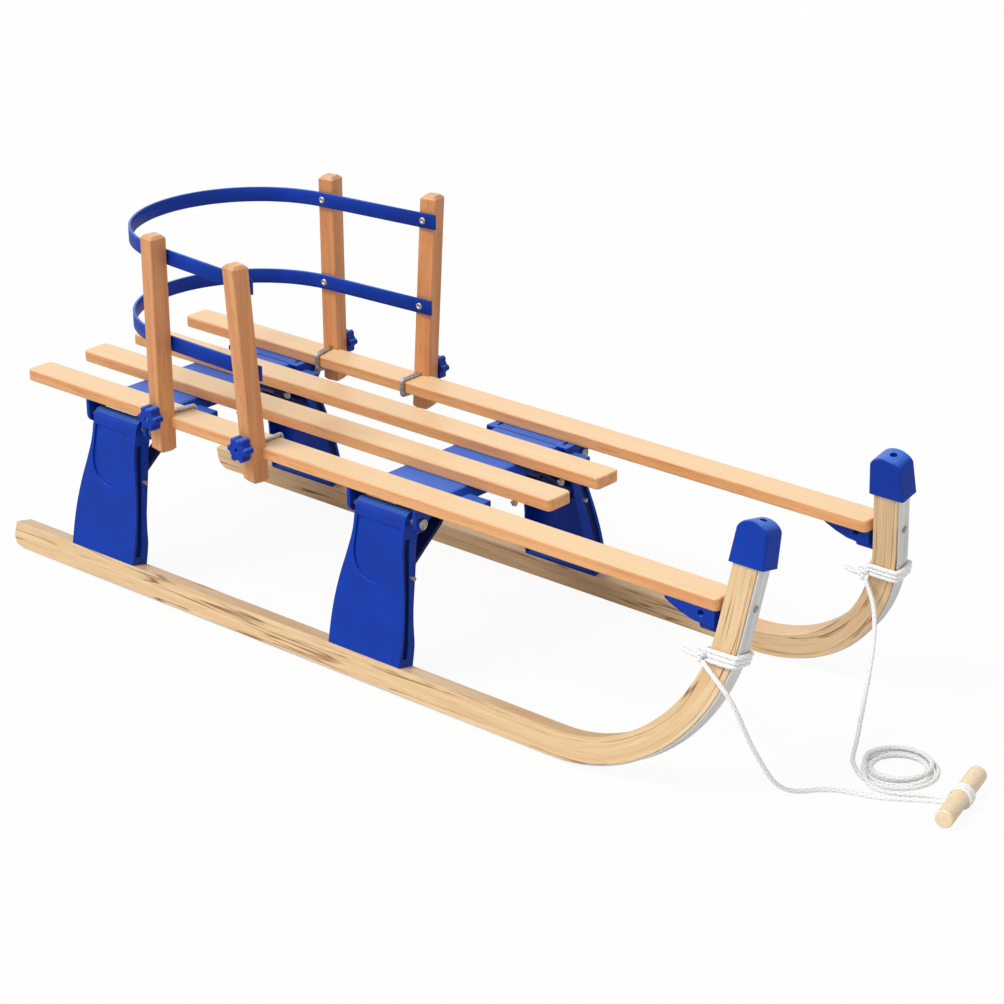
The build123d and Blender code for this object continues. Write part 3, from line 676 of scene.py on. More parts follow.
def settle(piece: bpy.types.Object, slot: str, body: str, *nodes: str) -> bpy.types.Object:
    """Put a piece on the body that it moves with, and hide the CAD nodes that it stands for.

    Args:
        piece: the piece.
        slot: its material slot; not used.
        body: the body that it rides.
        nodes: the CAD nodes that it replaces, if any.

    Returns:
        The piece.
    """
    if nodes:
        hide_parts(*nodes)
    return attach(piece, body)


def bake(piece: bpy.types.Object) -> None:
    """Apply a piece's modifiers to its mesh.

    Args:
        piece: the piece.
    """
    graph = bpy.context.evaluated_depsgraph_get()
    mesh = bpy.data.meshes.new_from_object(piece.evaluated_get(graph))
    piece.modifiers.clear()
    piece.data = mesh


def carve(piece: bpy.types.Object, tool: bpy.types.Object, how: str = "DIFFERENCE") -> None:
    """Cut a piece with a tool and throw the tool away.

    Args:
        piece: the piece.
        tool: what cuts it.
        how: the boolean's operation.
    """
    modifier = piece.modifiers.new("carve", "BOOLEAN")
    modifier.object = tool
    modifier.operation = how
    modifier.solver = "MANIFOLD"
    bake(piece)
    bpy.data.objects.remove(tool)


def soften(piece: bpy.types.Object, width: float, segments: int = 2) -> None:
    """Round a piece's sharp edges.

    Args:
        piece: the piece.
        width: how far back, in millimetres.
        segments: how many faces round an edge.
    """
    modifier = piece.modifiers.new("soften", "BEVEL")
    modifier.width = width * MM
    modifier.segments = segments
    modifier.limit_method = "ANGLE"
    modifier.angle_limit = math.radians(35)
    bake(piece)


def copied(node: str, name: str, finish: bpy.types.Material) -> bpy.types.Object:
    """Make a piece from a CAD node's mesh.

    Args:
        node: the node.
        name: the piece's name.
        finish: its material.

    Returns:
        The object, not settled yet.
    """
    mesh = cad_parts[node].data.copy()
    mesh.materials.clear()
    mesh.materials.append(finish)
    made = bpy.data.objects.new(name, mesh)
    bpy.context.scene.collection.objects.link(made)
    return made


def finish_mesh(name: str, shape: bmesh.types.BMesh, finish: bpy.types.Material,
                smooth: bool) -> bpy.types.Object:
    """Turn a built mesh into an object in the scene.

    Args:
        name: the piece's name.
        shape: the mesh, freed here.
        finish: its material.
        smooth: whether its four-cornered faces are shaded smooth.

    Returns:
        The object.
    """
    mesh = bpy.data.meshes.new(name)
    bmesh.ops.recalc_face_normals(shape, faces=shape.faces)
    for face in shape.faces:
        face.smooth = smooth and len(face.verts) == 4
    shape.to_mesh(mesh)
    shape.free()
    mesh.materials.append(finish)
    made = bpy.data.objects.new(name, mesh)
    bpy.context.scene.collection.objects.link(made)
    return made


def smooth_line(name: str, route: Sequence[Vector], resolution: int = 10) -> list[Vector]:
    """Read the points of a NURBS spline that has the route as its control points.

    Args:
        name: the curve's name.
        route: the control points, in metres.
        resolution: how many points a run gets.

    Returns:
        The points along the spline.
    """
    curve = bpy.data.curves.new(name, "CURVE")
    curve.dimensions = "3D"
    spline = curve.splines.new("NURBS")
    spline.points.add(len(route) - 1)
    for point, place in zip(spline.points, route):
        point.co = (*place, 1.0)
    spline.order_u = 3
    spline.use_endpoint_u = True
    spline.resolution_u = resolution
    holder = bpy.data.objects.new(name, curve)
    mesh = bpy.data.meshes.new_from_object(holder)
    points = [vertex.co.copy() for vertex in mesh.vertices]
    bpy.data.objects.remove(holder)
    bpy.data.meshes.remove(mesh)
    bpy.data.curves.remove(curve)
    return points


@dataclass
class TowRope:
    """The tow rope: turns and knot on each horn, two leads, the far one's loose coil, and the handle's turns."""

    finishes: Materials
    plane: SidePlane
    diameter: float = 5.0
    near_route: tuple[Place, ...] = (
        (499.6, -165.2, 163.4), (516, -168, 153), (533, -167, 138), (543, -159, 112), (544, -143, 80),
        (548, -123, 45), (552, -104, 16), (562, -84, 4), (577, -59, 3), (602, -45, 3), (630, -38, 3),
        (652, -24, 3), (672, -10, 3), (694.4, -3.6, 6))
    far_drop: tuple[Place, ...] = (
        (498, 126, 152.6), (508, 126, 136), (519, 117, 112), (528, 101, 86), (537, 80, 60), (547, 56, 34),
        (558, 32, 14), (566, 12, 5))
    far_run: tuple[Place, ...] = (
        (606, -23.5, 4.5), (633, -23, 3), (657, -8, 3), (674, 2, 3), (692.6, 3.6, 6))
    coil_centre: tuple[float, float] = (614.0, 28.9)
    coil_start: float = 215.0
    coil_rise: float = 4.0
    points_a_turn: int = 14
    coil_turns: tuple[tuple[float, float, float, float, float], ...] = (
        # radius at the turn's start and end, height, and how far the turn's middle is off
        (45.5, 38.0, 3.0, 0.0, 0.0),
        (38.0, 31.5, 3.0, 1.0, -1.0),
        (31.5, 28.0, 5.6, 0.5, 1.0),
        (30.0, 41.0, 8.4, -1.5, 1.5),
    )
    wrap_low: float = 158.0
    wrap_turns: int = 3
    wrap_ease: float = 1.3
    wrap_gap: float = 0.6
    wrap_pitch: float = 1.02
    wrap_corner: float = 3.2
    knot_reach: float = 1.4
    knot_size: float = 5.2
    knot_span: float = 2.2
    knot_flat: float = 0.75
    knot_steps: int = 24
    handle: Place = (706.0, 3.0, 14.0)
    handle_turn: float = math.radians(104.0)
    handle_radius: float = 10.0
    grip_turns: float = 3.2
    grip_steps: int = 12
    grip_pitch: float = 0.92
    grip_thick: float = 0.8
    tail: tuple[Place, ...] = ((0, 0, 0), (-7, -2, -1), (-14, -3, 2), (-21, -1, 1))

    def turns(self) -> list[Vector]:
        """Lay the coil's turns.

        Returns:
            Control points, from the drop to the run to the handle.
        """
        route = []
        for i, (start, end, height, shift_x, shift_y) in enumerate(self.coil_turns):
            below = self.coil_turns[i - 1][2] if i else height
            for k in range(self.points_a_turn):
                share = k / self.points_a_turn
                angle = math.radians(self.coil_start + 360 * share)
                radius = start + (end - start) * share
                swing = math.sin(math.pi * share)
                lift = below + (height - below) * min(1.0, share * self.coil_rise)
                route.append(Vector((
                    self.coil_centre[0] + radius * math.cos(angle) + shift_x * swing,
                    self.coil_centre[1] + radius * math.sin(angle) + shift_y * swing,
                    lift,
                )))
        return [point * MM for point in route]

    def lead(self, name: str, route: Sequence[Vector], nodes: Sequence[str]) -> bpy.types.Object:
        """Args:
            name: the piece's name.
            route: its control points in metres.
            nodes: the CAD nodes that it stands for.

        Returns:
            The lead.
        """
        points = smooth_line(name, route)
        made = Tube(self.diameter / 2).build(name, points, self.finishes["rope"])
        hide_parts(*nodes)
        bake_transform(made)
        return made

    def piece(self, name: str, route: Sequence[Vector], body: str, *nodes: str, thick: float = 1.0,
              resolution: int = 8) -> bpy.types.Object:
        """Make a short piece of the rope."""
        line = smooth_line(name, route, resolution)
        return settle(Tube(self.diameter / 2 * thick).build(name, line, self.finishes["rope"]), "rope", body, *nodes)

    def wrap(self, side: Side, knot_off: float) -> list[bpy.types.Object]:
        """Wind the rope round a horn and tie it.

        Args:
            side: which horn.
            knot_off: how far out the knot is.

        Returns:
            The turns and the knot.
        """
        radius = self.diameter / 2
        plane = self.plane
        corner, inner_radius = self.wrap_corner, plane.bend_radius - plane.depth
        route = []
        for turn in range(self.wrap_turns):
            low = self.wrap_low + radius + self.diameter * turn * self.wrap_pitch
            rear = plane.horn_x(inner_radius, low) - self.wrap_ease - radius
            front = plane.horn_x(plane.bend_radius, low) + self.wrap_ease + radius
            inner, outer = -radius - self.wrap_gap, plane.width + radius + self.wrap_gap
            ring = ((rear, inner + corner), (rear, outer - corner), (rear + corner, outer),
                    (front - corner, outer), (front, outer - corner), (front, inner + corner),
                    (front - corner, inner), (rear + corner, inner))
            for k, (x, off) in enumerate(ring):
                route.append(plane.world(x, off, low + self.diameter * k / len(ring), side))
        turns = self.piece(f"rope_turns_{side.label}", route, side.body, f"rope_wrap_{side.label}")
        middle = self.wrap_low + self.diameter * self.wrap_turns / 2
        x = plane.horn_x(inner_radius, middle) - self.diameter
        centre = plane.world(x, knot_off, middle, side)
        knot_route = []
        for i in range(self.knot_steps + 1):
            t = 2 * math.pi * i / self.knot_steps
            knot_route.append(centre + Vector((
                math.sin(t) + self.knot_reach * math.sin(2 * t),
                self.knot_flat * math.sin(3 * t),
                math.cos(t) - self.knot_reach * math.cos(2 * t),
            )) * (self.knot_size / self.knot_span * MM))
        knot = self.piece(f"rope_knot_{side.label}", knot_route, side.body)
        tail_route = [centre + Vector(step) * MM for step in self.tail]
        return [turns, knot, self.piece(f"rope_tail_{side.label}", tail_route, side.body)]

    def grip(self) -> bpy.types.Object:
        """Wind the rope's last turns round the handle's middle.

        Returns:
            The turns.
        """
        along = Vector((math.cos(self.handle_turn), math.sin(self.handle_turn), 0))
        across = Vector((-along.y, along.x, 0))
        radius = self.handle_radius + self.diameter * (self.grip_thick / 2)
        steps = int(self.grip_turns * self.grip_steps)
        route = []
        for i in range(steps + 1):
            share = i / steps
            angle = 2 * math.pi * self.grip_turns * share - math.pi / 2
            shift = (share - 0.5) * (self.grip_turns * self.diameter * self.grip_pitch)
            middle = Vector(self.handle) + along * shift
            route.append((middle + across * (radius * math.cos(angle)) + Vector((0, 0, radius * math.sin(angle)))) * MM)
        return self.piece("rope_grip", route, "root", "rope_handle_turns", thick=self.grip_thick, resolution=6)

    def build(self) -> None:
        """Make the whole rope."""
        near = self.wrap(Side.NEAR, self.plane.width + self.diameter * self.knot_reach)
        far = self.wrap(Side.FAR, -self.diameter * self.knot_reach)
        grip = self.grip()
        near_route = [Vector(point) * MM for point in self.near_route]
        far_route = ([Vector(point) * MM for point in self.far_drop] + self.turns()
                     + [Vector(point) * MM for point in self.far_run])
        self.lead("rope_near", near_route, ["rope_lead_near"])
        self.lead("rope_far", far_route, ["rope_lead_far", "rope_coil"])


CENTRES = (("front", 43.2), ("rear", -390.3))  # x of the legs and bridges
PIVOT = (138.03, 193.03)  # y and z of the line on which the far side folds


@dataclass
class Fittings:
    """Steel bands up to the caps with their screws, flush pivot pins, gussets and lower caps."""

    finishes: Materials
    plane: SidePlane
    band_thick: float = 2.0
    band_offs: tuple[float, float] = (2.0, 21.0)
    band_start: float = -536.0
    band_top: float = 266.7
    bend_steps: int = 36
    screw_u: float = 224.0
    screw_off: float = 11.5
    screw_profile: Pairs = (
        (4.2, 0.05), (4.2, 0.4), (3.4, 0.7), (2.2, 0.75), (1.9, 0.2), (0.4, 0.15))
    pin_x: float = 480.0
    pin_profile: Pairs = ((3.9, 0.0), (3.9, 46.0))
    boss_x: float = 480.5
    boss_profile: Pairs = ((7.4, 0.0), (7.4, 22.0))
    gusset_ys: tuple[float, float] = (124.0, 149.0)
    gusset_outline: Pairs = (
        (438, 212.9), (501, 212.9), (501, 194.7), (487, 194.8), (472.6, 196.4), (458, 200.8), (446, 206), (438, 210))
    gusset_hole: Place = (484.078, 136.5, 206.0)
    hole_profile: Pairs = ((4.0, -20.0), (4.0, 20.0))
    cap_fold: float = 296.0
    cap_squeeze: float = 0.76

    def band(self, side: Side) -> None:
        """Lay a steel band from the runner's tail to the cap.

        Args:
            side: which side.
        """
        plane = self.plane
        radii = (plane.bend_radius, plane.bend_radius - self.band_thick)
        run = [[(self.band_start, plane.bend_radius - radius) for radius in radii]]
        last = math.pi / 2 - plane.horn_lean
        for i in range(self.bend_steps + 1):
            angle = last * i / self.bend_steps
            run.append([(plane.bend_x + radius * math.sin(angle), plane.bend_radius - radius * math.cos(angle))
                        for radius in radii])
        run.append([(plane.horn_x(radius, self.band_top), self.band_top) for radius in radii])
        low, high = self.band_offs
        outlines = [[plane.world(x, off, u, side) for (x, u), off in
                     ((outer, low), (outer, high), (inner, high), (inner, low))] for outer, inner in run]
        made = loft(f"band_{side.label}", outlines, self.finishes["band"])
        soften(made, 0.35, 1)
        settle(made, "band_steel", side.body, f"steel_band_{side.label}")

    def turned(self, side: Side) -> None:
        """Turn the band's screw below the cap, and the pivot's pin, hidden by the band, with the boss round it.

        Args:
            side: which side.
        """
        plane, (y, z) = self.plane, PIVOT
        lean = plane.horn_lean
        x = plane.horn_x(plane.bend_radius, self.screw_u)
        ahead = plane.world(math.cos(lean), 0, -math.sin(lean), side) - plane.world(0, 0, 0, side)
        screw = plane.world(x, self.screw_off, self.screw_u, side)
        pin, boss = (Vector((start, side.value * y, z)) * MM for start in (self.pin_x, self.boss_x))
        forward = Vector((1, 0, 0))
        for name, profile, spot, way, finish, slot, body, nodes in (
                ("band_screw", self.screw_profile, screw, ahead, "zinc", "zinc", side.body, ()),
                ("pivot_pin", self.pin_profile, pin, forward, "zinc", "zinc", "root", [f"pivot_bolt_{side.label}"]),
                ("boss", self.boss_profile, boss, forward, "blue", "blue_plastic", "root", ())):
            made = Lathe(profile).build(f"{name}_{side.label}", spot, way, self.finishes[finish])
            settle(made, slot, body, *nodes)

    def gusset(self, side: Side) -> None:
        """Shape a gusset's fin with its cross hole.

        Args:
            side: which side.
        """
        outlines = [[Vector((x, side.value * y, z)) * MM for x, z in self.gusset_outline] for y in self.gusset_ys]
        made = loft(f"fin_{side.label}", outlines, self.finishes["blue"])
        x, y, z = self.gusset_hole
        carve(made, Lathe(self.hole_profile).build("hole", Vector((x, side.value * y, z)) * MM, Vector((0, 1, 0)),
                                                   self.finishes["blue"]))
        soften(made, 0.8)
        settle(made, "blue_plastic", "root", f"gusset_{side.label}")

    def cap(self, side: Side) -> None:
        """Flatten a cap's crown a little.

        Args:
            side: which side.
        """
        made = copied(f"cap_{side.label}", f"horn_cap_{side.label}", self.finishes["blue"])
        lean = self.plane.lean
        up = Vector((0, -side.value * math.sin(lean), math.cos(lean)))
        base = self.plane.world(0, 0, self.cap_fold, side).dot(up)
        for vertex in made.data.vertices:
            above = vertex.co.dot(up) - base
            if above > 0:
                vertex.co -= up * (above * (1 - self.cap_squeeze))
        settle(made, "blue_plastic", side.body, f"cap_{side.label}")

    def build(self) -> None:
        """Make all fittings."""
        for side in Side:
            for make in (self.band, self.turned, self.gusset, self.cap):
                make(side)
            log.info("fittings: %s side", side.label)


@dataclass
class Legs:
    """The moulded legs: curved outlines, slots down their sides and a tongue-shaped hollow in front."""

    finishes: Materials
    plane: SidePlane
    rows: tuple[Place, ...] = (
        # height u, outer half width, inner half width
        (31.3, 54.0, 54.0), (56.0, 54.2, 53.0), (74.0, 53.5, 48.8), (92.0, 51.7, 45.5), (115.0, 48.0, 43.2),
        (139.0, 42.6, 41.2), (165.0, 37.8, 38.2), (186.0, 37.5, 38.0), (207.0, 37.5, 38.0))
    steps: int = 5
    wall: float = 3.0
    head: Place = (11.5, 195.0, 11.5)
    hollow_top: float = 184.0
    tool_reach: float = 70.0
    tool_low: float = 20.0
    slot_offs: tuple[float, float] = (11.5, 19.5)
    slot_us: tuple[float, float] = (40.0, 174.0)
    panel_thick: float = 1.2
    panel_lap: float = 1.0
    panel_sink: float = 0.3
    panel_over: float = 4.0
    tongue_half: float = 33.0
    tongue_us: tuple[float, float] = (116.0, 186.0)
    tongue_depth: float = 2.0

    def halves(self, column: int, inset: float) -> list[tuple[float, float]]:
        """Draw one edge of the leg as a smooth line through its rows.

        Args:
            column: 1 for the outer plate, 2 for the inner edge.
            inset: how far in it is set.

        Returns:
            Half widths and heights from the foot up.
        """
        line = []
        rows = self.rows
        for i in range(len(rows) - 1):
            before, after = rows[max(i - 1, 0)], rows[min(i + 2, len(rows) - 1)]
            for k in range(self.steps):
                t = k / self.steps
                a, b, c, d = (row[column] for row in (before, rows[i], rows[i + 1], after))
                bend = b + 0.5 * t * (c - a + t * (2 * a - 5 * b + 4 * c - d + t * (3 * (b - c) + d - a)))
                line.append((bend - inset, rows[i][0] + (rows[i + 1][0] - rows[i][0]) * t))
        line.append((rows[-1][column] - inset, rows[-1][0]))
        return line

    def block(self, name: str, outlines: Sequence[Sequence[Place]], centre: float, side: Side,
              finish: str = "blue") -> bpy.types.Object:
        """Make a block of a leg from outlines in its own plane."""
        places = [[self.plane.world(centre + x, off, u, side) for x, off, u in outline] for outline in outlines]
        return loft(name, places, self.finishes[finish])

    def leg(self, place: str, centre: float, side: Side) -> None:
        """Make one leg.

        Args:
            place: front or rear.
            centre: its middle along the sled.
            side: which side.
        """
        def outline(column: int, inset: float, off: float, top: float) -> list[Place]:
            """Draw both edges of a column up to a top, set in by an inset, in the plane of an off."""
            whole = self.halves(column, inset)
            line = [(half, max(u, self.rows[0][0] + inset)) for half, u in whole if u < top]
            line.append((whole[len(line)][0], top))
            return [(half, off, u) for half, u in line] + [(-half, off, u) for half, u in reversed(line)]

        width, wall, top, reach = self.plane.width, self.wall, self.rows[-1][0], self.tool_reach
        (off, u, radius), hollow = self.head, self.hollow_top
        profile = [(off - radius, self.tool_low), (off + radius, self.tool_low)]
        profile += [(off + radius * math.cos(turn), u + radius * math.sin(turn)) for turn in half_turn(12)]
        (a, b), (c, d), (low, high) = self.slot_offs, self.slot_us, self.tongue_us
        half = self.tongue_half
        curve = [(half * math.cos(turn), low + half - half * math.sin(turn)) for turn in half_turn(16)]
        tongue = [(half, high), *curve, (-half, high)]
        made = self.block(f"moulded_leg_{place}_{side.label}", (outline(2, 0, 0, top), outline(1, 0, width, top)),
                          centre, side)
        for how, tool in (
                ("INTERSECT", [[(x, *corner) for corner in profile] for x in (-reach, reach)]),
                ("DIFFERENCE", (outline(2, wall, -1, hollow), outline(1, wall, width - wall, hollow))),
                ("DIFFERENCE", [[(x, a, c), (x, b, c), (x, b, d), (x, a, d)] for x in (0, reach)]),
                ("DIFFERENCE", [[(x, at, u) for x, u in tongue] for at in (width - self.tongue_depth, width + 5)])):
            carve(made, self.block("tool", tool, centre, side), how)
        soften(made, 0.9)
        settle(made, "blue_plastic", side.body, f"leg_{place}_{side.label}")

    def panel(self, place: str, centre: float, side: Side) -> None:
        """Close a leg's slot from inside with a dark wall that paints the shade of the hollow behind the slot.

        Args:
            place: front or rear.
            centre: the leg's middle along the sled.
            side: which side.
        """
        low, high = self.slot_us
        ends = []
        for off in (self.slot_offs[0] - self.panel_lap, self.plane.width - self.wall + self.panel_sink):
            share = off / self.plane.width
            rows = zip(self.halves(1, self.wall), self.halves(2, self.wall))
            line = [(inner + (outer - inner) * share, u) for (outer, u), (inner, _) in rows
                    if low - self.panel_over < u < high + self.panel_over]
            ends.append([(x, off, u) for x, u in line] + [(x - self.panel_thick, off, u) for x, u in reversed(line)])
        # painted shade: the wall behind the slot is dark plastic so that the slot reads as a shaded hollow
        settle(self.block(f"leg_panel_{place}_{side.label}", ends, centre, side, "dark"), "dark_plastic", side.body)

    def build(self) -> None:
        """Make all legs."""
        for side in Side:
            for place, centre in CENTRES:
                self.leg(place, centre, side)
                self.panel(place, centre, side)
                log.info("leg: %s %s", place, side.label)


@dataclass
class Bridges:
    """The moulded bridges: a narrow middle, wider ends, a shelf with a lip in front, ears and stops."""

    finishes: Materials
    middle: Pairs = (
        (-51, 199), (-47.5, 211.5), (-45.5, 213), (44, 213), (47, 211.6), (57, 199.5), (53.4, 199.5), (44, 210),
        (-44, 210), (-47.6, 199))
    ends: Pairs = (
        (-62, 200), (-60.5, 213), (60.5, 213), (62, 200), (59, 200), (57.5, 210), (-57.5, 210), (-59, 200))
    shelf: Pairs = (
        (46, 205), (84, 205), (84, 197.5), (81, 197.5), (81, 202), (46, 202))
    middle_y: float = 100.0
    end_ys: tuple[float, float] = (97.0, 120.0)
    shelf_ys: tuple[float, float] = (60.0, 112.0)
    ear: tuple[float, float] = (47.0, 52.0)
    ear_radius: float = 10.0
    ear_corners: Pairs = ((104.0, 213.0), (108.0, 203.0))
    stop: tuple[float, ...] = (26.0, 87.3, 90.3, 182.0, 212.0)  # half width, inner and outer y, foot and top

    def bridge(self, place: str, centre: float) -> None:
        """Make one bridge.

        Args:
            place: front or rear.
            centre: its middle along the sled.
        """
        shape = bmesh.new()

        def across(outline: Sequence[tuple[float, float]], low: float, high: float) -> None:
            """Add a bar of an outline of x and z from one y to another."""
            add_loft(shape, [[Vector((centre + x, y, z)) * MM for x, z in outline] for y in (low, high)])

        across(self.middle, -self.middle_y, self.middle_y)
        y, z = PIVOT
        radius, (first, last) = self.ear_radius, self.ear_corners
        arc = [(y + radius * math.cos(turn), z - radius * math.sin(turn)) for turn in half_turn(10)]
        ear = [first, (y + radius, first[1]), *arc, last]
        half, near, far, foot, top = self.stop
        for side in Side:
            sign = side.value
            across(self.ends, *(sign * value for value in self.end_ys))
            across(self.shelf, *(sign * value for value in self.shelf_ys))
            across(((-half, top), (half, top), (half, foot), (-half, foot)), sign * near, sign * far)
            for end in (-1, 1):
                add_loft(shape, [[Vector((centre + end * x, sign * a, b)) * MM for a, b in ear] for x in self.ear])
        made = finish_mesh(f"moulded_bridge_{place}", shape, self.finishes["blue"], smooth=False)
        soften(made, 0.8)
        settle(made, "blue_plastic", "root", f"bridge_{place}")

    def build(self) -> None:
        """Make both bridges."""
        for place, centre in CENTRES:
            self.bridge(place, centre)
            log.info("bridge: %s", place)


@dataclass
class Backrest:
    """The clamped backrest: notched posts, painted rails, screws, hooks and knobs, its sides a little askew."""

    finishes: Materials
    width: float = 21.5
    turn: float = math.radians(10.0)
    lean: float = math.radians(4.3)
    bottom: float = 184.0
    top: float = 447.0
    bevel: float = 3.5
    corner: float = 1.0
    gap: float = 0.3
    post_y: float = 152.75
    posts: tuple[tuple[str, float, float, float, float, float], ...] = (
        # place, x, how much it leans, x in the frame, the hook's reach and its reach in the frame
        ("front", -157.0, 1.0, -154.0, 1.0, 5.0),
        ("rear", -309.0, 0.0, -310.0, 10.0, 26.0),
    )
    skew: float = 8.0
    slat: Place = (150.3, 212.7, 227.3)
    notch: tuple[float, float] = (40.0, 60.0)
    knob_z: float = 244.0
    hook_edges: tuple[float, float] = (151.0, 109.7)
    hook_pull: float = 7.6
    rails: tuple[tuple[str, float], ...] = (("upper", 419.0), ("lower", 314.5))
    rail_height: float = 18.0
    rail_thick: float = 3.4
    rail_ends: tuple[float, float] = (-148.0, -139.0)
    rail_apex: float = -445.0
    rail_steps: int = 48
    rail_ease: float = 0.6
    screw_profile: Pairs = (
        (4.4, 0.0), (4.4, 0.7), (3.5, 1.8), (2.0, 2.0), (1.8, 1.0), (0.3, 0.9))

    def middle(self, leans: float, z: float) -> float:
        """Find how far out a post's middle is at height z, where leans is 1 for a leaning post and else 0."""
        return self.post_y + leans * (z - self.slat[1]) * math.tan(self.lean)

    def reach(self, turn: float = 0.0) -> float:
        """Find how far a post's corner reaches from its middle, seen at an angle from straight across."""
        off = abs(self.turn - turn)
        return self.width / 2 * (math.cos(off) + math.sin(off))

    def post(self, place: str, x: float, leans: float, side: Side) -> None:
        """Make one post, notched round the outer slat.

        Args:
            place: front or rear.
            x: its place along the sled, without the skew.
            leans: 1 where it leans outward.
            side: which side.
        """
        half, cut = self.width / 2, self.corner
        outlines = []
        levels = ((self.bottom, self.bevel), (self.bottom + self.bevel, 0.0), (self.slat[1], 0.0),
                  (self.slat[2], 0.0), (self.top - self.bevel, 0.0), (self.top, self.bevel))
        for z, inset in levels:
            h = half - inset
            plan = ((h, h - cut), (h - cut, h), (cut - h, h), (-h, h - cut), (-h, cut - h), (cut - h, -h),
                    (h - cut, -h), (h, cut - h))
            cosine, sine = math.cos(self.turn), math.sin(self.turn)
            turned = [(a * cosine - b * sine, a * sine + b * cosine) for a, b in plan]
            outlines.append([Vector((x - side.value * self.skew + across,
                                     side.value * (self.middle(leans, z) + out), z)) * MM for across, out in turned])
        made = loft(f"stake_{place}_{side.label}", outlines, self.finishes["posts"])
        edge, low, high = self.slat
        deep, wide = self.notch
        corners = ((edge - deep, low), (edge, low), (edge, high), (edge - deep, high))
        carve(made, loft("tool", [[Vector((x + shift, side.value * y, z)) * MM for y, z in corners]
                                  for shift in (-wide, wide)], self.finishes["posts"]))
        settle(made, "seat_wood", "backrest", f"post_{place}_{side.label}")

    def clamp(self, place: str, x: float, leans: float, old_x: float, reach: float, old_reach: float,
              side: Side) -> None:
        """Set a post's hook and knob where the post is.

        Args:
            place: front or rear.
            x: the post's place along the sled, without the skew.
            leans: 1 where it leans outward.
            old_x: the frame's post.
            reach: how far ahead the hook's end is.
            old_reach: the same in the frame.
            side: which side.
        """
        sign = side.value
        shift = x - sign * self.skew - old_x
        name = f"{place}_{side.label}"
        knob = copied(f"knob_{name}", f"star_knob_{name}", self.finishes["blue"])
        low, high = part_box(f"knob_{name}")
        inner = min(abs(low.y), abs(high.y)) / MM
        seat = self.middle(leans, self.knob_z) + self.reach() + self.gap
        for vertex in knob.data.vertices:
            vertex.co += Vector((shift, sign * (seat - inner), 0)) * MM
        hook = copied(f"hook_{name}", f"clamp_hook_{name}", self.finishes["zinc"])
        start, end = self.hook_edges
        for vertex in hook.data.vertices:
            y = abs(vertex.co.y) / MM
            share = min(max((start - y) / (start - end), 0.0), 1.0)
            pull = self.hook_pull if y > start + self.width / 2 else 0.0
            vertex.co += Vector((shift + (reach - old_reach) * share, -sign * pull, 0)) * MM
        settle(knob, "blue_plastic", "backrest", f"knob_{name}")
        settle(hook, "zinc", "backrest", f"hook_{name}")

    def rail(self, place: str, z: float) -> None:
        """Bend one painted rail round the back and screw it to the posts.

        Args:
            place: upper or lower.
            z: its middle height.
        """
        (_, front, *_), (_, rear, *_) = self.posts
        low = z - self.rail_height / 2
        slope = (self.middle(1.0, low) - self.post_y) / (front - rear)
        turn = math.atan(slope)
        rear_y = self.post_y - (self.reach(turn) + self.gap) / math.cos(turn)
        radius = (rear_y * math.cos(turn) + (self.rail_apex - rear) * math.sin(turn)) / (1 - math.sin(turn))
        centre = self.rail_apex + radius
        last = math.pi / 2 - turn

        def edge(x: float, inset: float) -> float:
            """Find how far out the rail's straight part is at x, set in by an inset."""
            return rear_y + (x - rear) * slope - inset / math.cos(turn)

        stations = [(self.rail_ends[0], 1)]
        stations += [(math.pi + angle, 0) for angle in
                     (-last + 2 * last * k / self.rail_steps for k in range(self.rail_steps + 1))]
        stations += [(self.rail_ends[1], -1)]
        ease, thick, half = self.rail_ease, self.rail_thick, self.rail_height / 2
        section = ((0, half - ease), (ease, half), (thick - ease, half), (thick, half - ease),
                   (thick, ease - half), (thick - ease, -half), (ease, -half), (0, ease - half))
        outlines = []
        for value, kind in stations:
            if kind:
                places = [(value, kind * edge(value, inset)) for inset, _ in section]
            else:
                places = [(centre + (radius - inset) * math.cos(value), (radius - inset) * math.sin(value))
                          for inset, _ in section]
            outlines.append([Vector((x, y + slope * self.skew, z + rise)) * MM
                             for (x, y), (_, rise) in zip(places, section)])
        made = loft(f"painted_rail_{place}", outlines, self.finishes["blue"], smooth=True)
        settle(made, "blue_plastic", "backrest", f"rail_{place}")
        for side in Side:
            for where, x, *_ in self.posts:
                spot = Vector((x - side.value * self.skew, side.value * edge(x, self.rail_thick), z)) * MM
                screw = Lathe(self.screw_profile, 24).build(f"rail_screw_{place}_{where}_{side.label}", spot,
                                                            Vector((slope, -side.value, 0)), self.finishes["zinc"])
                settle(screw, "zinc", "backrest", "rail_bolts")

    def build(self) -> None:
        """Make the whole backrest."""
        for side in Side:
            for place, x, leans, old_x, reach, old_reach in self.posts:
                self.post(place, x, leans, side)
                self.clamp(place, x, leans, old_x, reach, old_reach, side)
                log.info("post: %s %s", place, side.label)
        for place, z in self.rails:
            self.rail(place, z)
            log.info("rail: %s", place)


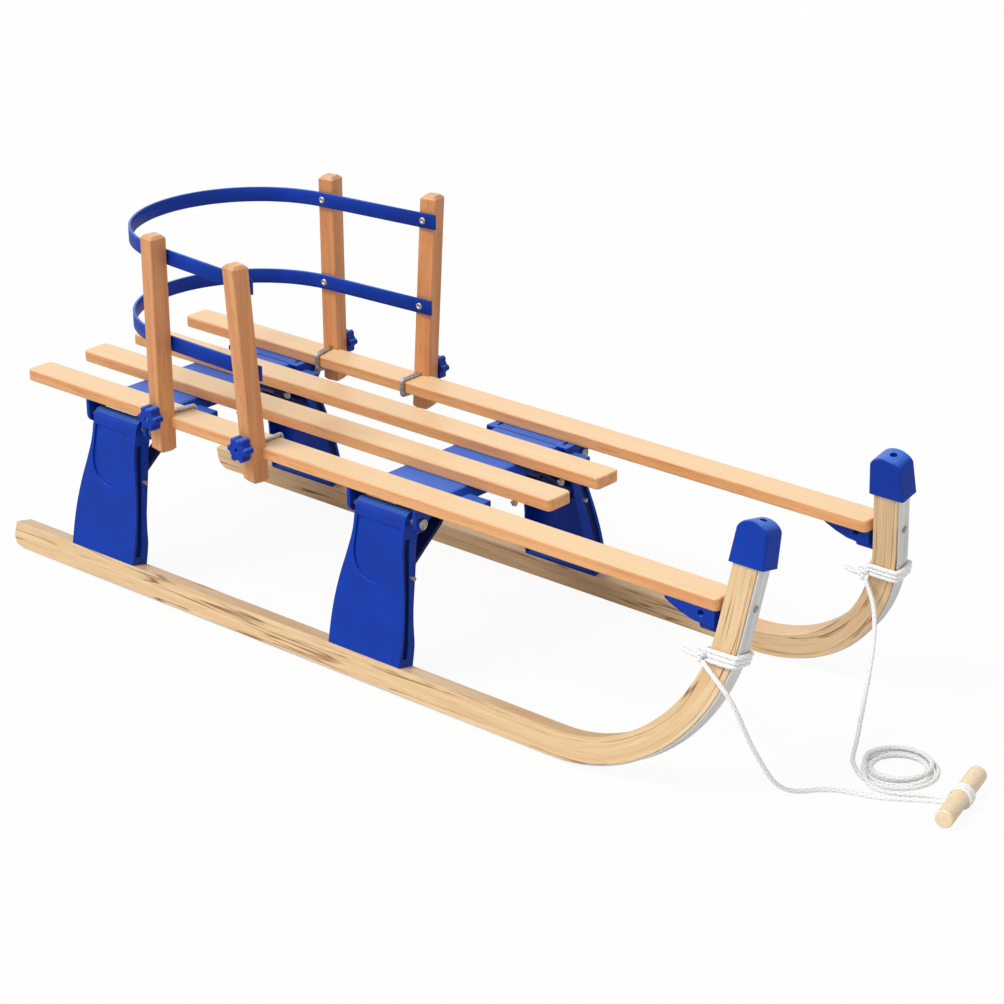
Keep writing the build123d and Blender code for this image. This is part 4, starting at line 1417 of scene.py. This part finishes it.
@dataclass
class Woodwork:
    """The frame's own nodes, dressed where they are."""

    finishes: Materials
    table: tuple[tuple[str, str], ...] = (
        # start of the node's name, finish
        ("slat", "slats"), ("post", "posts"), ("rail_bolts", "zinc"), ("rail", "blue"), ("runner", "runners"),
        ("steel_band", "band"), ("cap", "blue"), ("leg", "blue"), ("bridge_pins", "zinc"), ("bridge", "blue"),
        ("brace_pins", "zinc"), ("brace", "dark"), ("gusset", "blue"), ("knob", "blue"), ("hook", "zinc"),
        ("fold_pins", "zinc"), ("pivot_bolt", "zinc"), ("rope_handle_turns", "rope"), ("rope_handle", "handle"),
        ("rope", "rope"))

    def build(self) -> None:
        """Give every node its material."""
        for name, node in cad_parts.items():
            finish = next(finish for start, finish in self.table if name.startswith(start))
            node.data.materials.clear()
            node.data.materials.append(self.finishes[finish])
            log.info("%s: %s", name, finish)


@dataclass
class Stage:
    """The camera of the photograph, a white floor and soft light from the sled's near side."""

    camera_place: Place = (2.0278, -2.2182, 1.3954)
    camera_tilt: float = math.radians(90 - 22.52)
    camera_heading: float = math.radians(41.13)
    camera_roll: float = math.radians(-0.33)
    sensor: float = 36.0
    focal: float = 2828 / 1004
    floor_half: float = 8.0
    floor_z: float = -0.0004
    floor_paint: float = 0.86
    floor_dim: float = 0.6
    floor_glow: float = 0.93
    ambient: float = 0.55
    sheen: tuple[float, ...] = (0.45, 0.3, 0.7, 0.25)  # how much x and y take away and z adds, and a shift
    sun_way: Place = (-0.22, -0.58, 0.78)
    sun_energy: float = 2.05
    sun_size: float = math.radians(28)

    def camera(self) -> None:
        """Set the camera up."""
        data = bpy.data.cameras.new("camera")
        data.sensor_width = self.sensor
        data.lens = self.focal * self.sensor
        made = bpy.data.objects.new("camera", data)
        bpy.context.scene.collection.objects.link(made)
        turn = Euler((self.camera_tilt, 0, self.camera_heading)).to_matrix()
        turn = turn @ Matrix.Rotation(self.camera_roll, 3, "Z")
        made.location = self.camera_place
        made.rotation_euler = turn.to_euler()
        bpy.context.scene.camera = made

    def floor(self) -> None:
        """Lay a white floor that keeps a light shadow."""
        shape = bmesh.new()
        half = self.floor_half
        shape.faces.new([shape.verts.new((x, y, self.floor_z)) for x, y in
                         ((-half, -half), (half, -half), (half, half), (-half, half))])
        paint = bpy.data.materials.new("floor")
        paint.use_nodes = True
        graph = Graph(paint.node_tree)
        paint.node_tree.nodes.remove(paint.node_tree.nodes["Principled BSDF"])
        seen = graph.node("ShaderNodeLightPath", {}, {}, "Is Camera Ray") * self.floor_glow
        mirrored = graph.node("ShaderNodeLightPath", {}, {}, "Is Glossy Ray")
        tone = self.floor_paint * (1.0 - mirrored * self.floor_dim)
        matt = graph.node("ShaderNodeBsdfDiffuse", {}, {"Color": graph.vector(tone, tone, tone)})
        glow = graph.node("ShaderNodeEmission", {}, {"Color": (1.0, 1.0, 1.0, 1.0), "Strength": 1.0})
        both = graph.node("ShaderNodeMixShader", {}, {0: seen, 1: matt, 2: glow})
        graph.feed(paint.node_tree.nodes["Material Output"].inputs["Surface"], both)
        finish_mesh("floor", shape, paint, smooth=True)

    def world(self) -> None:
        """Fill the surroundings: white to the camera, softer as light."""
        world = bpy.data.worlds.new("studio")
        world.use_nodes = True
        graph = Graph(world.node_tree)
        background = world.node_tree.nodes["Background"]
        paths = [graph.node("ShaderNodeLightPath", {}, {}, kind) for kind in
                 ("Is Camera Ray", "Is Glossy Ray", "Is Transmission Ray")]
        seen = paths[0].apply("MAXIMUM", paths[2])
        x, y, z = graph.node("ShaderNodeTexCoord", {}, {}, "Generated").parts()
        back, left, up, shift = self.sheen
        sheen = 0.5 + 0.5 * (z * up - x * back - y * left + shift).ramp(-0.2, 0.75)
        light = paths[1] * sheen + (1.0 - paths[1]) * self.ambient
        strength = seen + (1.0 - seen) * light
        background.inputs["Color"].default_value = (1.0, 1.0, 1.0, 1.0)
        graph.feed(background.inputs["Strength"], strength)
        bpy.context.scene.world = world

    def sun(self) -> None:
        """Light the sled softly from above its near side."""
        data = bpy.data.lights.new("key", "SUN")
        data.energy = self.sun_energy
        data.angle = self.sun_size
        made = bpy.data.objects.new("key", data)
        made.rotation_euler = Vector(self.sun_way).to_track_quat("Z", "Y").to_euler()
        bpy.context.scene.collection.objects.link(made)

    def build(self) -> None:
        """Set the whole stage up."""
        self.camera()
        self.floor()
        self.world()
        self.sun()
        bpy.context.scene.view_settings.view_transform = "Standard"


def main() -> None:
    """Dress the sled and set its stage."""
    logging.basicConfig(level=logging.INFO, format="%(name)s: %(message)s")
    plan = Finishes()
    finishes = {name: finish.material() for name, finish in vars(plan).items()}
    plane = SidePlane()
    Stage().build()
    Woodwork(finishes).build()
    TowRope(finishes, plane).build()
    Fittings(finishes, plane).build()
    Legs(finishes, plane).build()
    Bridges(finishes).build()
    Backrest(finishes).build()


if __name__ == "__main__":
    main()
